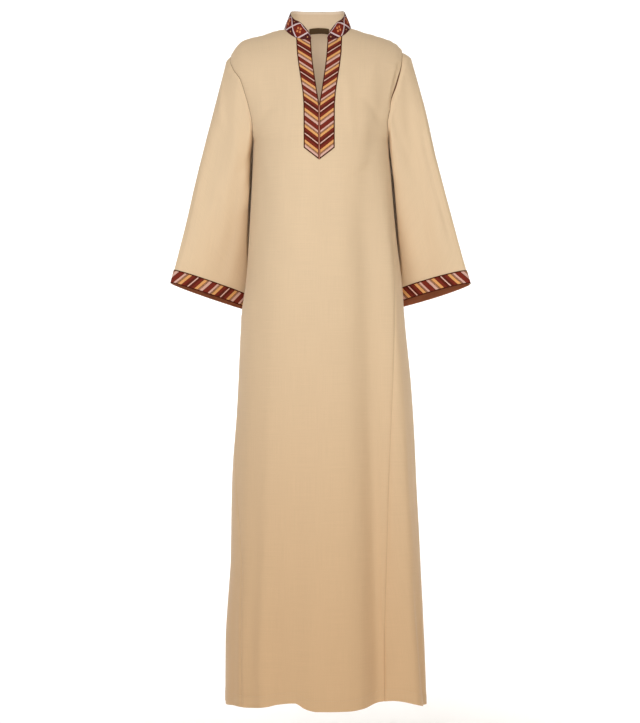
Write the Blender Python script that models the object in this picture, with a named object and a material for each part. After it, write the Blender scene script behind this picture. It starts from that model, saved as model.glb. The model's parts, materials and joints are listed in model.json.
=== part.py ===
"""Long kaftan with a stand collar, a V opening edged with woven ribbon and wide straight sleeves.

Metres, +Z up, +X to the right of a viewer who faces the front, -Y towards that viewer.
The origin is the point at neck height where the wearer's shoulders hold the garment.
"left" and "right" are the viewer's left and right.
"""
import math
from collections import namedtuple

import bpy
import numpy as np

for old in list(bpy.data.objects):
    bpy.data.objects.remove(old, do_unlink=True)

# Cloth and ribbon
CLOTH = 0.0013
RIBBON = 0.0010
SEAM_GAP = 0.0003
LAY_GAP = 0.0003
FACING_GAP = 0.0009
COLLAR_GAP = 0.0006

# Heights
UNDERARM_Z = -0.245
SPLIT_DROP = 0.085
FIGURE_BASE_Z = UNDERARM_Z - SPLIT_DROP
HEM_DEEP_Z = -1.44

# General figure: sections are half superellipses, closed over the shoulders
SECTION_POWER = 2.3
FRONT_ROUND = 2.0
BACK_ROUND = 3.9
FRONT_DEPTH = 0.135
BACK_DEPTH = 0.125

# Neck opening in plan
NECK_POWER = 2.6
NECK_FRONT = 0.070
NECK_BACK = 0.055
NECK_HALF = {"left": 0.0736, "right": 0.0670}

COLLAR_LEAN = 0.0135
COLLAR_END_ROUND = 0.045
COLLAR_END_HEIGHT = 0.004
RIBBON_INSET = 0.0008

CUFF_RIBBON = 0.0295
LABEL_HALF = 0.0215
LABEL_TOP = 0.0012
LABEL_FOOT = 0.0080

SLEEVE_CLEARANCE = 0.005
CUFF_HALF_DEPTH = 0.047
CLEARANCE_EASE = 0.020

# Where a body fold has its full depth, as part of its way down, and how far on it runs
FOLD_FULL_AT = 0.9
FOLD_PAST_FOOT = 1.2
# The middle part of a sleeve's crease has its full depth
CREASE_HOLD = 0.4
# Part of the way down at which the columns stand evenly
EVEN_COLUMNS_AT = 0.6

# A seam between these two is partly smooth (cosine of half its fold)
SHARP_SEAM = 0.70
SMOOTH_SEAM = 0.90
MITRE_LIMIT = 0.5
SHARP_DEGREES = 50.0
CLOTH_ROUGHNESS = 0.85
RIBBON_ROUGHNESS = 0.75

# How many rows and columns the surfaces are worked out on
LOWER_ROWS = 16
NECK_ROWS = 6
PANEL_COLUMNS = 11
STRIP_COLUMNS = {"front": 3, "back": 2}
SLEEVE_ROWS = 10
SLEEVE_HEAD_ROW = 0.035
CUFF_ROWS = slice(-3, None)
COLLAR_ROWS = 3

Section = namedtuple("Section", "z left right left_seam right_seam")
# Half widths, and how far the side seams run forward of the sides, in degrees
SECTIONS = (
    Section(0.030, 0.2300, 0.2300, 0, 0),
    Section(-0.050, 0.2220, 0.2150, 0, 0),
    Section(-0.090, 0.2080, 0.2000, 0, 0),
    Section(-0.130, 0.1860, 0.1850, 0, 0),
    Section(-0.180, 0.1640, 0.1660, 0, 0),
    Section(-0.220, 0.1490, 0.1550, 0, 0),
    Section(-0.245, 0.1408, 0.1490, 0, 0),
    Section(-0.320, 0.1434, 0.1547, 1, 8),
    Section(-0.434, 0.1494, 0.1641, 2, 20),
    Section(-0.530, 0.1558, 0.1760, 3, 28),
    Section(-0.610, 0.1663, 0.1825, 4, 33),
    Section(-0.790, 0.1748, 0.1990, 9, 41),
    Section(-0.960, 0.1855, 0.2082, 20, 48),
    Section(-1.130, 0.1885, 0.2189, 32, 54),
    Section(-1.303, 0.1985, 0.2285, 37, 56),
    Section(-1.450, 0.1990, 0.2355, 39, 57),
)

Depth = namedtuple("Depth", "z front back")
DEPTHS = (
    Depth(0.030, FRONT_DEPTH, BACK_DEPTH),
    Depth(FIGURE_BASE_Z, FRONT_DEPTH, BACK_DEPTH),
    Depth(-0.600, 0.1370, 0.1220),
    Depth(-1.000, 0.1430, 0.1280),
    Depth(-1.450, 0.1500, 0.1400),
)

Shoulder = namedtuple("Shoulder", "reach left right")
# Height of the shoulder seam at each distance from the middle, run on to the middle of the neck
SHOULDER = (
    Shoulder(0.000, 0.0195, 0.0195),
    Shoulder(0.012, 0.0190, 0.0190),
    Shoulder(0.040, 0.0135, 0.0135),
    Shoulder(0.070, 0.0046, 0.0046),
    Shoulder(0.100, -0.0020, -0.0050),
    Shoulder(0.125, -0.0110, -0.0125),
    Shoulder(0.150, -0.0170, -0.0205),
    Shoulder(0.165, -0.0230, -0.0290),
    Shoulder(0.178, -0.0350, -0.0430),
    Shoulder(0.190, -0.0530, -0.0600),
    Shoulder(0.200, -0.0700, -0.0750),
)

Armhole = namedtuple("Armhole", "part left right")
# Distance from the middle, by the part of the way from the shoulder down to the underarm
ARMHOLE = (
    Armhole(0.00, 0.1900, 0.1800),
    Armhole(0.07, 0.1905, 0.1785),
    Armhole(0.18, 0.1835, 0.1735),
    Armhole(0.30, 0.1680, 0.1670),
    Armhole(0.42, 0.1600, 0.1605),
    Armhole(0.60, 0.1500, 0.1515),
    Armhole(0.80, 0.1425, 0.1480),
    Armhole(1.00, 0.1408, 0.1490),
)

Placket = namedtuple("Placket", "middle_z edge_z inner outer")
# The opening's edge and the ribbon's outer edge, from the split line up to the neckline
PLACKET = (
    Placket(-0.3280, -0.3280, 0.0000, 0.0320),
    Placket(-0.2895, -0.2642, 0.0000, 0.0320),
    Placket(-0.2500, -0.2350, 0.0000, 0.0320),
    Placket(-0.2100, -0.2050, 0.0000, 0.0322),
    Placket(-0.1715, -0.1715, 0.0000, 0.0325),
    Placket(-0.1440, -0.1440, 0.0046, 0.0347),
    Placket(-0.1180, -0.1180, 0.0084, 0.0386),
    Placket(-0.0900, -0.0900, 0.0124, 0.0430),
    Placket(-0.0600, -0.0600, 0.0155, 0.0465),
)
PLACKET_TOP_INNER = 0.0173
PLACKET_TOP_OUTER = 0.0484
PLACKET_POINT_ROW = 1
LABEL_ROWS = slice(-3, -1)

BACK_STRIP_Z = (-0.328, -0.270, -0.215, -0.165, -0.120, -0.080, -0.045, -0.018)

Hem = namedtuple("Hem", "angle z")
# Height of the hem round the garment: 0 right side, 90 front, 180 left side, 270 back
HEM = (
    Hem(0, -1.437),
    Hem(25, -1.431),
    Hem(48, -1.4155),
    Hem(62, -1.4175),
    Hem(70, -1.4250),
    Hem(78, -1.4285),
    Hem(91, -1.4280),
    Hem(96, -1.4235),
    Hem(102, -1.4125),
    Hem(112, -1.4165),
    Hem(120, -1.4225),
    Hem(135, -1.4275),
    Hem(150, -1.4285),
    Hem(180, -1.4360),
    Hem(225, -1.428),
    Hem(260, -1.436),
    Hem(300, -1.424),
    Hem(335, -1.433),
    Hem(360, -1.437),
)

Fold = namedtuple("Fold", "head head_z foot foot_z width depth")
# Angle and height where each fold starts and ends, its half width and how far it stands out
BODY_FOLDS = (
    Fold(50, -0.22, 64, -0.56, 0.028, -0.013),
    Fold(66, -0.50, 56, -1.44, 0.030, -0.012),
    Fold(88, -0.70, 90, -1.44, 0.050, 0.007),
    Fold(36, -0.50, 27, -1.44, 0.026, 0.004),
    Fold(40, -0.98, 20, -1.36, 0.022, -0.010),
    Fold(111, -1.02, 113, -1.44, 0.030, -0.008),
    Fold(142, -0.80, 140, -1.44, 0.026, 0.007),
    Fold(200, -0.50, 206, -1.44, 0.028, -0.012),
    Fold(232, -0.38, 228, -1.44, 0.034, 0.012),
    Fold(255, -0.62, 258, -1.44, 0.028, -0.014),
    Fold(283, -0.34, 280, -1.44, 0.036, 0.013),
    Fold(310, -0.55, 304, -1.44, 0.028, -0.013),
    Fold(338, -0.75, 334, -1.44, 0.030, 0.011),
    Fold(355, -0.90, 358, -1.44, 0.022, -0.007),
)

CollarTop = namedtuple("CollarTop", "back z")
# Height of the collar's top edge, by how far back its foot is
COLLAR_TOP = (
    CollarTop(-0.0720, -0.0060),
    CollarTop(-0.0660, 0.0042),
    CollarTop(-0.0585, 0.0111),
    CollarTop(-0.0470, 0.0167),
    CollarTop(-0.0350, 0.0236),
    CollarTop(-0.0200, 0.0295),
    CollarTop(0.0000, 0.0375),
    CollarTop(0.0200, 0.0440),
    CollarTop(0.0400, 0.0480),
    CollarTop(0.0560, 0.0486),
)

Cuff = namedtuple("Cuff", "outer_x outer_y outer_z inner_x inner_y inner_z back_drop")
CUFF = {
    "left": Cuff(0.3165, -0.012, -0.5410, 0.1370, 0.088, -0.6005, 0.31),
    "right": Cuff(0.3200, -0.012, -0.5415, 0.1450, 0.092, -0.5950, 0.36),
}

Crease = namedtuple("Crease", "around head foot width depth")
# Around the sleeve from its outer edge over the front (degrees), along it from 0 to 1
SLEEVE_FOLDS = {
    "left": (
        Crease(0, -0.95, 0.95, 45, 0.0055),
        Crease(62, 0.02, 0.75, 14, -0.0050),
        Crease(95, 0.05, 0.90, 15, 0.0035),
        Crease(128, 0.10, 1.02, 24, 0.0060),
        Crease(165, 0.00, 0.35, 22, -0.0060),
        Crease(235, 0.10, 1.00, 16, -0.0060),
        Crease(290, 0.15, 1.00, 18, 0.0050),
    ),
    "right": (
        Crease(0, -0.50, 0.50, 45, 0.0080),
        Crease(0, -0.95, 0.95, 45, 0.0055),
        Crease(118, 0.02, 1.02, 22, 0.0085),
        Crease(72, 0.03, 0.70, 20, -0.0060),
        Crease(72, 0.55, 1.00, 16, 0.0035),
        Crease(45, 0.20, 0.95, 12, -0.0050),
        Crease(245, 0.08, 1.00, 16, -0.0060),
        Crease(295, 0.20, 1.00, 18, 0.0050),
    ),
}

SIDES = ("left", "right")
HAND = {"left": -1.0, "right": 1.0}

SAND = (0.60, 0.44, 0.28)
MAROON = (0.16, 0.045, 0.028)
BROWN = (0.17, 0.065, 0.035)
DARK_OLIVE = (0.055, 0.040, 0.022)


def smooth_table(rows, key, column):
    """A smooth curve through one column of a table, with no overshoot between its rows."""
    points = sorted((getattr(row, key), getattr(row, column)) for row in rows)
    xs = np.array([p[0] for p in points], float)
    ys = np.array([p[1] for p in points], float)
    steps = np.diff(xs)
    slopes = np.diff(ys) / steps
    tangents = np.zeros(len(xs))
    for i in range(1, len(xs) - 1):
        before = slopes[i - 1]
        after = slopes[i]
        if before * after > 0:
            tangents[i] = 2 * before * after / (before + after)
    tangents[0] = slopes[0]
    tangents[-1] = slopes[-1]

    def curve(at):
        at = np.clip(np.asarray(at, float), xs[0], xs[-1])
        i = np.clip(np.searchsorted(xs, at) - 1, 0, len(steps) - 1)
        t = (at - xs[i]) / steps[i]
        rise = ys[i] * (1 + 2 * t) * (1 - t) ** 2 + ys[i + 1] * t * t * (3 - 2 * t)
        return rise + steps[i] * (tangents[i] * t * (1 - t) ** 2 - tangents[i + 1] * t * t * (1 - t))

    return curve


HALF_WIDTH = {side: smooth_table(SECTIONS, "z", side) for side in SIDES}
SEAM_TURN = {side: smooth_table(SECTIONS, "z", side + "_seam") for side in SIDES}
DEPTH = {face: smooth_table(DEPTHS, "z", face) for face in ("front", "back")}
SHOULDER_Z = {side: smooth_table(SHOULDER, "reach", side) for side in SIDES}
ARMHOLE_X = {side: smooth_table(ARMHOLE, "part", side) for side in SIDES}
HEM_Z = smooth_table(HEM, "angle", "z")
COLLAR_TOP_Z = smooth_table(COLLAR_TOP, "back", "z")
ROUND = {"front": FRONT_ROUND, "back": BACK_ROUND}
OUTWARD = {"front": -1.0, "back": 1.0}


def fade(value, start, end):
    """0 before start, 1 after end, smooth between."""
    t = np.clip((np.asarray(value, float) - start) / (end - start), 0.0, 1.0)
    return t * t * (3 - 2 * t)


def figure_depth(side, face, reach, z):
    """Depth of the figure at height z: full below the chest, closing to nothing at the shoulder."""
    top = SHOULDER_Z[side](reach)
    rise = np.clip((z - FIGURE_BASE_Z) / (top - FIGURE_BASE_Z), 0.0, 1.0)
    power = ROUND[face]
    return DEPTH[face](z) * (1 - rise ** power) ** (1 / power)


def fold_push(angle, z):
    """How far the folds of the body stand out at an angle round it."""
    push = 0.0
    for fold in BODY_FOLDS:
        along = np.clip((fold.head_z - z) / (fold.head_z - fold.foot_z), 0.0, FOLD_PAST_FOOT)
        centre = fold.head + (fold.foot - fold.head) * along
        off = (angle - centre + 180.0) % 360.0 - 180.0
        across = np.radians(off) * HALF_WIDTH["left"](z)
        push = push + fold.depth * fade(along, 0.0, FOLD_FULL_AT) * np.exp(-((across / fold.width) ** 2))
    return push


def body_point(angle, z):
    """Point of the cloth at an angle round the body and a height."""
    cos = math.cos(math.radians(angle))
    sin = math.sin(math.radians(angle))
    side = "right" if cos >= 0 else "left"
    face = "front" if sin >= 0 else "back"
    half = float(HALF_WIDTH[side](z))
    reach = half * abs(cos) ** (2 / SECTION_POWER)
    depth = float(figure_depth(side, face, reach, z))
    out = depth * abs(sin) ** (2 / SECTION_POWER)
    across = (reach / half) ** (SECTION_POWER - 1) / half
    through = (out / depth) ** (SECTION_POWER - 1) / depth
    push = float(fold_push(angle, z)) / math.hypot(across, through)
    x = HAND[side] * (reach + across * push)
    y = OUTWARD[face] * (out + through * push)
    return np.array((x, y, z))


def figure_point(side, face, x, z):
    """Point of the cloth at distance x from the middle, seen from the front, and height z."""
    half = float(HALF_WIDTH[side](z))
    bulge = max(0.0, 1 - (x / half) ** SECTION_POWER) ** (1 / SECTION_POWER)
    depth = float(figure_depth(side, face, x, z)) * bulge
    return np.array((HAND[side] * x, OUTWARD[face] * depth, z))


def neck_point(side, face, turn):
    """Point of the neckline; turn is 0 at the middle and 90 degrees at the shoulder seam."""
    x = NECK_HALF[side] * math.sin(math.radians(turn)) ** (2 / NECK_POWER)
    deep = NECK_FRONT if face == "front" else NECK_BACK
    y = deep * max(0.0, math.cos(math.radians(turn))) ** (2 / NECK_POWER)
    half = float(HALF_WIDTH[side](0.0))
    bulge = (1 - (x / half) ** SECTION_POWER) ** (1 / SECTION_POWER)
    power = ROUND[face]
    rise = (1 - (y / (float(DEPTH[face](0.0)) * bulge)) ** power) ** (1 / power)
    z = FIGURE_BASE_Z + rise * (float(SHOULDER_Z[side](x)) - FIGURE_BASE_Z)
    return figure_point(side, face, x, z)


def neck_turn(side, x):
    """The turn at which the neckline is at distance x from the middle."""
    return math.degrees(math.asin((x / NECK_HALF[side]) ** (NECK_POWER / 2)))


def armhole_loop(side, face, count):
    """Points of half an armhole, from the underarm up to the shoulder seam."""
    tip = float(SHOULDER_Z[side](ARMHOLE_X[side](0.0)))
    height = tip - UNDERARM_Z
    loop = []
    for k in range(count + 1):
        z = UNDERARM_Z + height * (1 - math.cos(math.pi * k / count)) / 2
        x = float(ARMHOLE_X[side]((tip - z) / height))
        loop.append(figure_point(side, face, x, z))
    return np.array(loop)


def split_height(side, x):
    """Line across the chest and down from the underarm, where the lower rows start."""
    half = float(HALF_WIDTH[side](UNDERARM_Z))
    return UNDERARM_Z - SPLIT_DROP * (1 - min(1.0, x / half) ** 2)


def strip_rows(face):
    """Rows of the middle strip of a panel: the placket in front, the label's place behind."""
    if face == "front":
        return PLACKET
    return tuple(Placket(z, z, 0.0, LABEL_HALF) for z in BACK_STRIP_Z)


def upper_half(side, face):
    """The middle strip and the rest of one half of a panel, from the split line to the shoulder."""
    in_front = face == "front"
    inner_top = PLACKET_TOP_INNER if in_front else 0.0
    outer_top = PLACKET_TOP_OUTER if in_front else LABEL_HALF
    parts = np.linspace(0.0, 1.0, STRIP_COLUMNS[face] + 1)
    top = [neck_point(side, face, neck_turn(side, inner_top + (outer_top - inner_top) * p)) for p in parts]
    strip = []
    for row in strip_rows(face):
        line = []
        for p in parts:
            x = row.inner + (row.outer - row.inner) * p
            z = row.middle_z + (row.edge_z - row.middle_z) * p if strip else split_height(side, x)
            line.append(figure_point(side, face, x, z))
        strip.append(line)
    if not in_front:
        for drop in (LABEL_FOOT, LABEL_TOP):
            strip.append([figure_point(side, face, abs(p[0]), p[2] - drop) for p in top])
    strip.append(top)
    start = neck_turn(side, outer_top)
    inner = [line[-1] for line in strip]
    for k in range(1, NECK_ROWS + 1):
        inner.append(neck_point(side, face, start + (90 - start) * k / NECK_ROWS))
    outer = armhole_loop(side, face, len(inner) - 1)
    return np.array(strip), stretched(side, face, inner, outer)


def stretched(side, face, inner, outer):
    """Grid of a panel half stretched between its inner edge, armhole, split line and shoulder seam."""
    near = np.array([(abs(p[0]), p[2]) for p in inner])
    far = np.array([(abs(p[0]), p[2]) for p in outer])
    count = len(near) - 1
    half = float(HALF_WIDTH[side](UNDERARM_Z))
    lean = math.acos((near[0][0] / half) ** (SECTION_POWER / 2))
    grid = np.zeros((count + 1, PANEL_COLUMNS + 1, 3))
    for j in range(count + 1):
        rise_near = math.sin(math.pi / 2 * j / count)
        rise_far = (1 - math.cos(math.pi * j / count)) / 2
        for i in range(PANEL_COLUMNS + 1):
            u = i / PANEL_COLUMNS
            rise = (1 - u) * rise_near + u * rise_far
            foot_x = half * math.cos(lean * (1 - u)) ** (2 / SECTION_POWER)
            head_x = near[-1][0] + (far[-1][0] - near[-1][0]) * u
            foot = np.array((foot_x, split_height(side, foot_x))) - (1 - u) * near[0] - u * far[0]
            head = np.array((head_x, float(SHOULDER_Z[side](head_x)))) - (1 - u) * near[-1] - u * far[-1]
            x, z = (1 - u) * near[j] + u * far[j] + (1 - rise) * foot + rise * head
            grid[j, i] = figure_point(side, face, x, z)
        grid[j, 0] = inner[j]
        grid[j, -1] = outer[j]
    return grid


def lower_half(side, face, start):
    """Grid of one half of a panel from the split line down to the hem; start is its top row."""
    count = len(start) - 1
    forward = -1.0 if face == "front" else 1.0
    middle = 90.0 if face == "front" else 270.0
    towards = forward * HAND[side]
    rows = []
    for j in range(LOWER_ROWS + 1):
        w = j / LOWER_ROWS
        line = []
        for i, top in enumerate(start):
            share = i / count
            hem_turn = (90 + forward * float(SEAM_TURN[side](HEM_DEEP_Z))) * share
            foot_z = float(HEM_Z((middle + towards * hem_turn) % 360.0))
            z = top[2] + (foot_z - top[2]) * w
            half = float(HALF_WIDTH[side](top[2]))
            top_turn = math.degrees(math.asin(min(1.0, (abs(top[0]) / half) ** (SECTION_POWER / 2))))
            top_share = top_turn / (90 + forward * float(SEAM_TURN[side](top[2])))
            even = float(fade(w, 0.0, EVEN_COLUMNS_AT))
            turn = (top_share + (share - top_share) * even) * (90 + forward * float(SEAM_TURN[side](z)))
            line.append(body_point((middle + towards * turn) % 360.0, z))
        rows.append(line)
    rows[0] = list(start)
    return np.array(rows)


def panel_patches(face):
    """All the grids of the front or back panel."""
    patches = []
    for side in SIDES:
        strip, grid = upper_half(side, face)
        start = list(strip[0]) + list(grid[0][1:])
        patches += [strip, grid, lower_half(side, face, start)]
    return patches


def cuff_loop(side, turns):
    """The sleeve's end: a flat oval from its outer edge round the front to its inner edge."""
    cuff = CUFF[side]
    outer = np.array((cuff.outer_x, cuff.outer_y, cuff.outer_z))
    inner = np.array((cuff.inner_x, cuff.inner_y, cuff.inner_z))
    half = (outer - inner) / 2
    across = np.array((-half[1], -half[0], 0.0)) / math.hypot(half[0], half[1])
    across = np.array((abs(across[0]), -abs(across[1]), cuff.back_drop)) * CUFF_HALF_DEPTH
    middle = (outer + inner) / 2
    return np.array([middle + half * math.cos(t) + across * math.sin(t) for t in turns])


def clear_of_body(point):
    """Move a sleeve point out of the body it hangs against."""
    x, y, z = point
    if z >= UNDERARM_Z:
        return point
    side = "right" if x >= 0 else "left"
    face = "front" if y < 0 else "back"
    room = SLEEVE_CLEARANCE * (1 - math.exp((z - UNDERARM_Z) / CLEARANCE_EASE))
    across = abs(x) / (float(HALF_WIDTH[side](z)) + room)
    through = abs(y) / (float(DEPTH[face](z)) + room)
    size = (across ** SECTION_POWER + through ** SECTION_POWER) ** (1 / SECTION_POWER)
    if size >= 1:
        return point
    return np.array((x / size, y / size, z))


def sleeve_grid(side):
    """Rows from the armhole to the cuff, each round from the outer edge over the front."""
    front = upper_half(side, "front")[1][:, -1]
    back = upper_half(side, "back")[1][:, -1]
    head = [(abs(p[0]), p[1], p[2]) for p in list(front[::-1]) + list(back[1:])]
    turns = [math.pi * k / (len(front) - 1) for k in range(len(front))]
    turns += [math.pi * (1 + k / (len(back) - 1)) for k in range(1, len(back))]
    head = np.array(head)
    foot = cuff_loop(side, turns)
    ribbon_at = 1 - CUFF_RIBBON / np.linalg.norm(foot - head, axis=1)
    shares = [0.0, SLEEVE_HEAD_ROW] + list(np.linspace(0.0, 1.0, SLEEVE_ROWS)[1:])
    steps = [ribbon_at * share for share in shares] + [(1 + ribbon_at) / 2, np.ones(len(turns))]
    rows = [head * (HAND[side], 1, 1)]
    for step in steps[1:]:
        ring = head + (foot - head) * step[:, None]
        centre = ring.mean(axis=0)
        for k, turn in enumerate(turns):
            push = sleeve_push(side, math.degrees(turn), step[k], ring[k] - centre)
            ring[k] = clear_of_body(ring[k] + push)
        ring[:, 0] *= HAND[side]
        rows.append(ring)
    return np.array(rows)


def sleeve_push(side, around, along, outward):
    """How a sleeve's folds move a point, in the direction away from the sleeve's middle."""
    flat = np.array((outward[0], outward[1], 0.0))
    push = 0.0
    for crease in SLEEVE_FOLDS[side]:
        middle = (crease.head + crease.foot) / 2
        reach = (crease.foot - crease.head) / 2
        off = ((around - crease.around + 180.0) % 360.0 - 180.0) / crease.width
        end_share = 1 - fade(abs(along - middle), reach * CREASE_HOLD, reach)
        push += crease.depth * math.exp(-off * off) * float(end_share)
    return flat / max(np.linalg.norm(flat), CLOTH) * push


def neckline(side, face):
    """Points of the neckline of one half of a panel, from its middle to the shoulder seam."""
    strip, grid = upper_half(side, face)
    return list(strip[-1]) + list(grid[-NECK_ROWS:, 0])


def collar_grid():
    """Columns from the left front end round the back to the right front end, rows upwards."""
    base = neckline("left", "front")
    base += neckline("left", "back")[-2::-1]
    base += neckline("right", "back")[1:]
    base += neckline("right", "front")[-2::-1]
    base = np.array(base) + np.array((0.0, 0.0, COLLAR_GAP))
    lengths = np.concatenate(([0.0], np.cumsum(np.linalg.norm(np.diff(base, axis=0), axis=1))))
    rows = [[] for _ in range(COLLAR_ROWS + 1)]
    middle = np.array((0.0, (NECK_BACK - NECK_FRONT) / 2))
    for point, run in zip(base, lengths):
        from_end = min(run, lengths[-1] - run)
        short = 1 - min(1.0, from_end / COLLAR_END_ROUND)
        full = float(COLLAR_TOP_Z(point[1])) - point[2]
        tall = max(COLLAR_END_HEIGHT, full * math.sqrt(1 - short * short))
        inward = middle - point[:2]
        inward = inward / np.linalg.norm(inward) * COLLAR_LEAN * tall / full
        for j, row in enumerate(rows):
            part = j / COLLAR_ROWS
            row.append(point + np.array((inward[0], inward[1], tall)) * part)
    return np.array(rows)


def weld(patches, ring=False):
    """Join grids at their shared points; the triangles of each face away from its middle."""
    index = {}
    points = []
    faces = []
    for patch in patches:
        ids = np.zeros(patch.shape[:2], int)
        for place in np.ndindex(ids.shape):
            key = tuple(np.round(patch[place] * 1e6).astype(int))
            if key not in index:
                index[key] = len(points)
                points.append(patch[place])
            ids[place] = index[key]
        if ring:
            middle = patch[:, :-1].mean(axis=1, keepdims=True)
        else:
            middle = patch * np.array((0.0, 0.0, 1.0)) - np.array((0.0, 0.0, CLOTH))
        cross = np.cross(patch[1:, 1:] - patch[:-1, :-1], patch[1:, :-1] - patch[:-1, 1:])
        away = (patch - middle)[:-1, :-1]
        flip = (cross * away).sum() < 0
        for j, i in np.ndindex(ids.shape[0] - 1, ids.shape[1] - 1):
            a, b, c, d = ids[j, i], ids[j, i + 1], ids[j + 1, i + 1], ids[j + 1, i]
            for face in ((a, b, c), (a, c, d)):
                if len(set(face)) == 3:
                    faces.append(face[::-1] if flip else face)
    return np.array(points), faces


def sheet_normals(points, faces):
    """Unit normals at the points of a sheet."""
    normals = np.zeros_like(points)
    for a, b, c in faces:
        cross = np.cross(points[b] - points[a], points[c] - points[a])
        for v in (a, b, c):
            normals[v] += cross
    return normals / np.linalg.norm(normals, axis=1, keepdims=True)


def free_edges(faces):
    """Directed edges that belong to one triangle only."""
    edges = {}
    for a, b, c in faces:
        for edge in ((a, b), (b, c), (c, a)):
            edges[edge] = True
    return [edge for edge in edges if (edge[1], edge[0]) not in edges]


def share_seam_normals(sheets):
    """Where pieces meet without a sharp fold, give both edges the same direction of thickness."""
    sums = {}
    for points, faces, normals in sheets:
        for point, normal in zip(points, normals):
            key = tuple(np.round(point * 1e6).astype(int))
            sums[key] = sums.get(key, 0.0) + normal
    for points, faces, normals in sheets:
        for v, point in enumerate(points):
            total = sums[tuple(np.round(point * 1e6).astype(int))]
            size = np.linalg.norm(total)
            if size > 0:
                shared = total / size
                weight = float(fade(shared @ normals[v], SHARP_SEAM, SMOOTH_SEAM))
                mixed = normals[v] * (1 - weight) + shared * weight
                normals[v] = mixed / np.linalg.norm(mixed)


def cut_back(points, faces, normals, amount):
    """Draw the free edges of a sheet in by an amount, along the sheet."""
    pulls = {}
    for a, b in free_edges(faces):
        along = points[b] - points[a]
        for v in (a, b):
            pull = np.cross(normals[v], along)
            pulls.setdefault(v, []).append(pull / np.linalg.norm(pull))
    moved = points.copy()
    for v, both in pulls.items():
        total = sum(both)
        spread = max(MITRE_LIMIT, (total @ total) / len(both))
        moved[v] = points[v] + total * amount / spread
    return moved


def make_wall(name, points, faces, normals, lift, thick, colour, roughness):
    """A closed wall whose outer face is lift outside the sheet, thick through."""
    outer = points + normals * lift
    inner = points + normals * (lift - thick)
    count = len(points)
    solid = list(faces)
    solid += [(a + count, c + count, b + count) for a, b, c in faces]
    for a, b in free_edges(faces):
        solid.append((b, a, a + count))
        solid.append((b, a + count, b + count))
    mesh = bpy.data.meshes.new(name)
    mesh.from_pydata([tuple(p) for p in np.vstack((outer, inner))], [], [tuple(map(int, f)) for f in solid])
    mesh.validate()
    mesh.shade_smooth()
    mesh.set_sharp_from_angle(angle=math.radians(SHARP_DEGREES))
    mesh.materials.append(finish(name, colour, roughness))
    obj = bpy.data.objects.new(name, mesh)
    bpy.context.scene.collection.objects.link(obj)
    return obj


def finish(name, colour, roughness):
    """A plain cloth material."""
    material = bpy.data.materials.new(name)
    material.use_nodes = True
    shader = material.node_tree.nodes["Principled BSDF"]
    shader.inputs["Base Color"].default_value = (*colour, 1.0)
    shader.inputs["Roughness"].default_value = roughness
    shader.inputs["Metallic"].default_value = 0.0
    return material


def laid_sheet(patches, parent, amount, ring=False):
    """A sheet made from some of the grids of a parent sheet, with that sheet's normals."""
    points, faces = weld(patches, ring)
    found = {tuple(np.round(p * 1e6).astype(int)): n for p, n in zip(parent[0], parent[2])}
    normals = np.array([found[tuple(np.round(p * 1e6).astype(int))] for p in points])
    return cut_back(points, faces, normals, amount), faces, normals


def add_body():
    """Front, back and sleeves, cut apart at their seams, with what is sewn onto them."""
    names = ("front_panel", "back_panel", "sleeve_left", "sleeve_right")
    front = panel_patches("front")
    back = panel_patches("back")
    sleeves = {side: sleeve_grid(side) for side in SIDES}
    sheets = []
    cloth = ((front, False), (back, False), ([sleeves["left"]], True), ([sleeves["right"]], True))
    for patches, ring in cloth:
        points, faces = weld(patches, ring)
        sheets.append((points, faces, sheet_normals(points, faces)))
    share_seam_normals(sheets)
    for name, sheet in zip(names, sheets):
        points, faces, normals = sheet
        cut = cut_back(points, faces, normals, SEAM_GAP / 2)
        make_wall(name, cut, faces, normals, 0.0, CLOTH, SAND, CLOTH_ROUGHNESS)
    for side, strip in zip(SIDES, (front[0], front[3])):
        laid = laid_sheet([strip[PLACKET_POINT_ROW:]], sheets[0], RIBBON_INSET)
        make_wall("placket_ribbon_" + side, *laid, LAY_GAP + RIBBON, RIBBON, MAROON, RIBBON_ROUGHNESS)
    label = laid_sheet([back[0][LABEL_ROWS], back[3][LABEL_ROWS]], sheets[1], RIBBON_INSET)
    make_wall("neck_label", *label, -CLOTH - LAY_GAP, RIBBON, DARK_OLIVE, RIBBON_ROUGHNESS)
    for side, sheet in zip(SIDES, sheets[2:]):
        cuff = laid_sheet([sleeves[side][CUFF_ROWS]], sheet, RIBBON_INSET, ring=True)
        make_wall("cuff_ribbon_" + side, *cuff, LAY_GAP + RIBBON, RIBBON, MAROON, RIBBON_ROUGHNESS)
        make_wall("cuff_facing_" + side, *cuff, -CLOTH - FACING_GAP, RIBBON, BROWN, RIBBON_ROUGHNESS)


def add_collar():
    """The stand collar and the ribbon round its outside."""
    points, faces = weld([collar_grid()])
    normals = sheet_normals(points, faces)
    make_wall("collar_band", points, faces, normals, 0.0, CLOTH, SAND, CLOTH_ROUGHNESS)
    laid = cut_back(points, faces, normals, RIBBON_INSET)
    make_wall("collar_ribbon", laid, faces, normals, LAY_GAP + RIBBON, RIBBON, MAROON, RIBBON_ROUGHNESS)


add_body()
add_collar()
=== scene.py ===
# %% [markdown]
# This file dresses a long sand-coloured kaftan, a loose robe that is pulled on over the head. The real one
# is cut from a front, a back, two sleeves and a collar, and edged with woven ribbon. We start by loading
# the fixed frame: the plain solids of those pieces, at their real size in metres, +Z up, with the front
# facing -Y. Every cloth that is made below stands for one of those solids, so the frame gives the names and
# the box that they must stay in.

# %% Load the frame
import json
import math
from collections import namedtuple
from functools import partialmethod
import bpy
import numpy as np
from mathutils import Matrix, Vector, kdtree, noise

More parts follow.
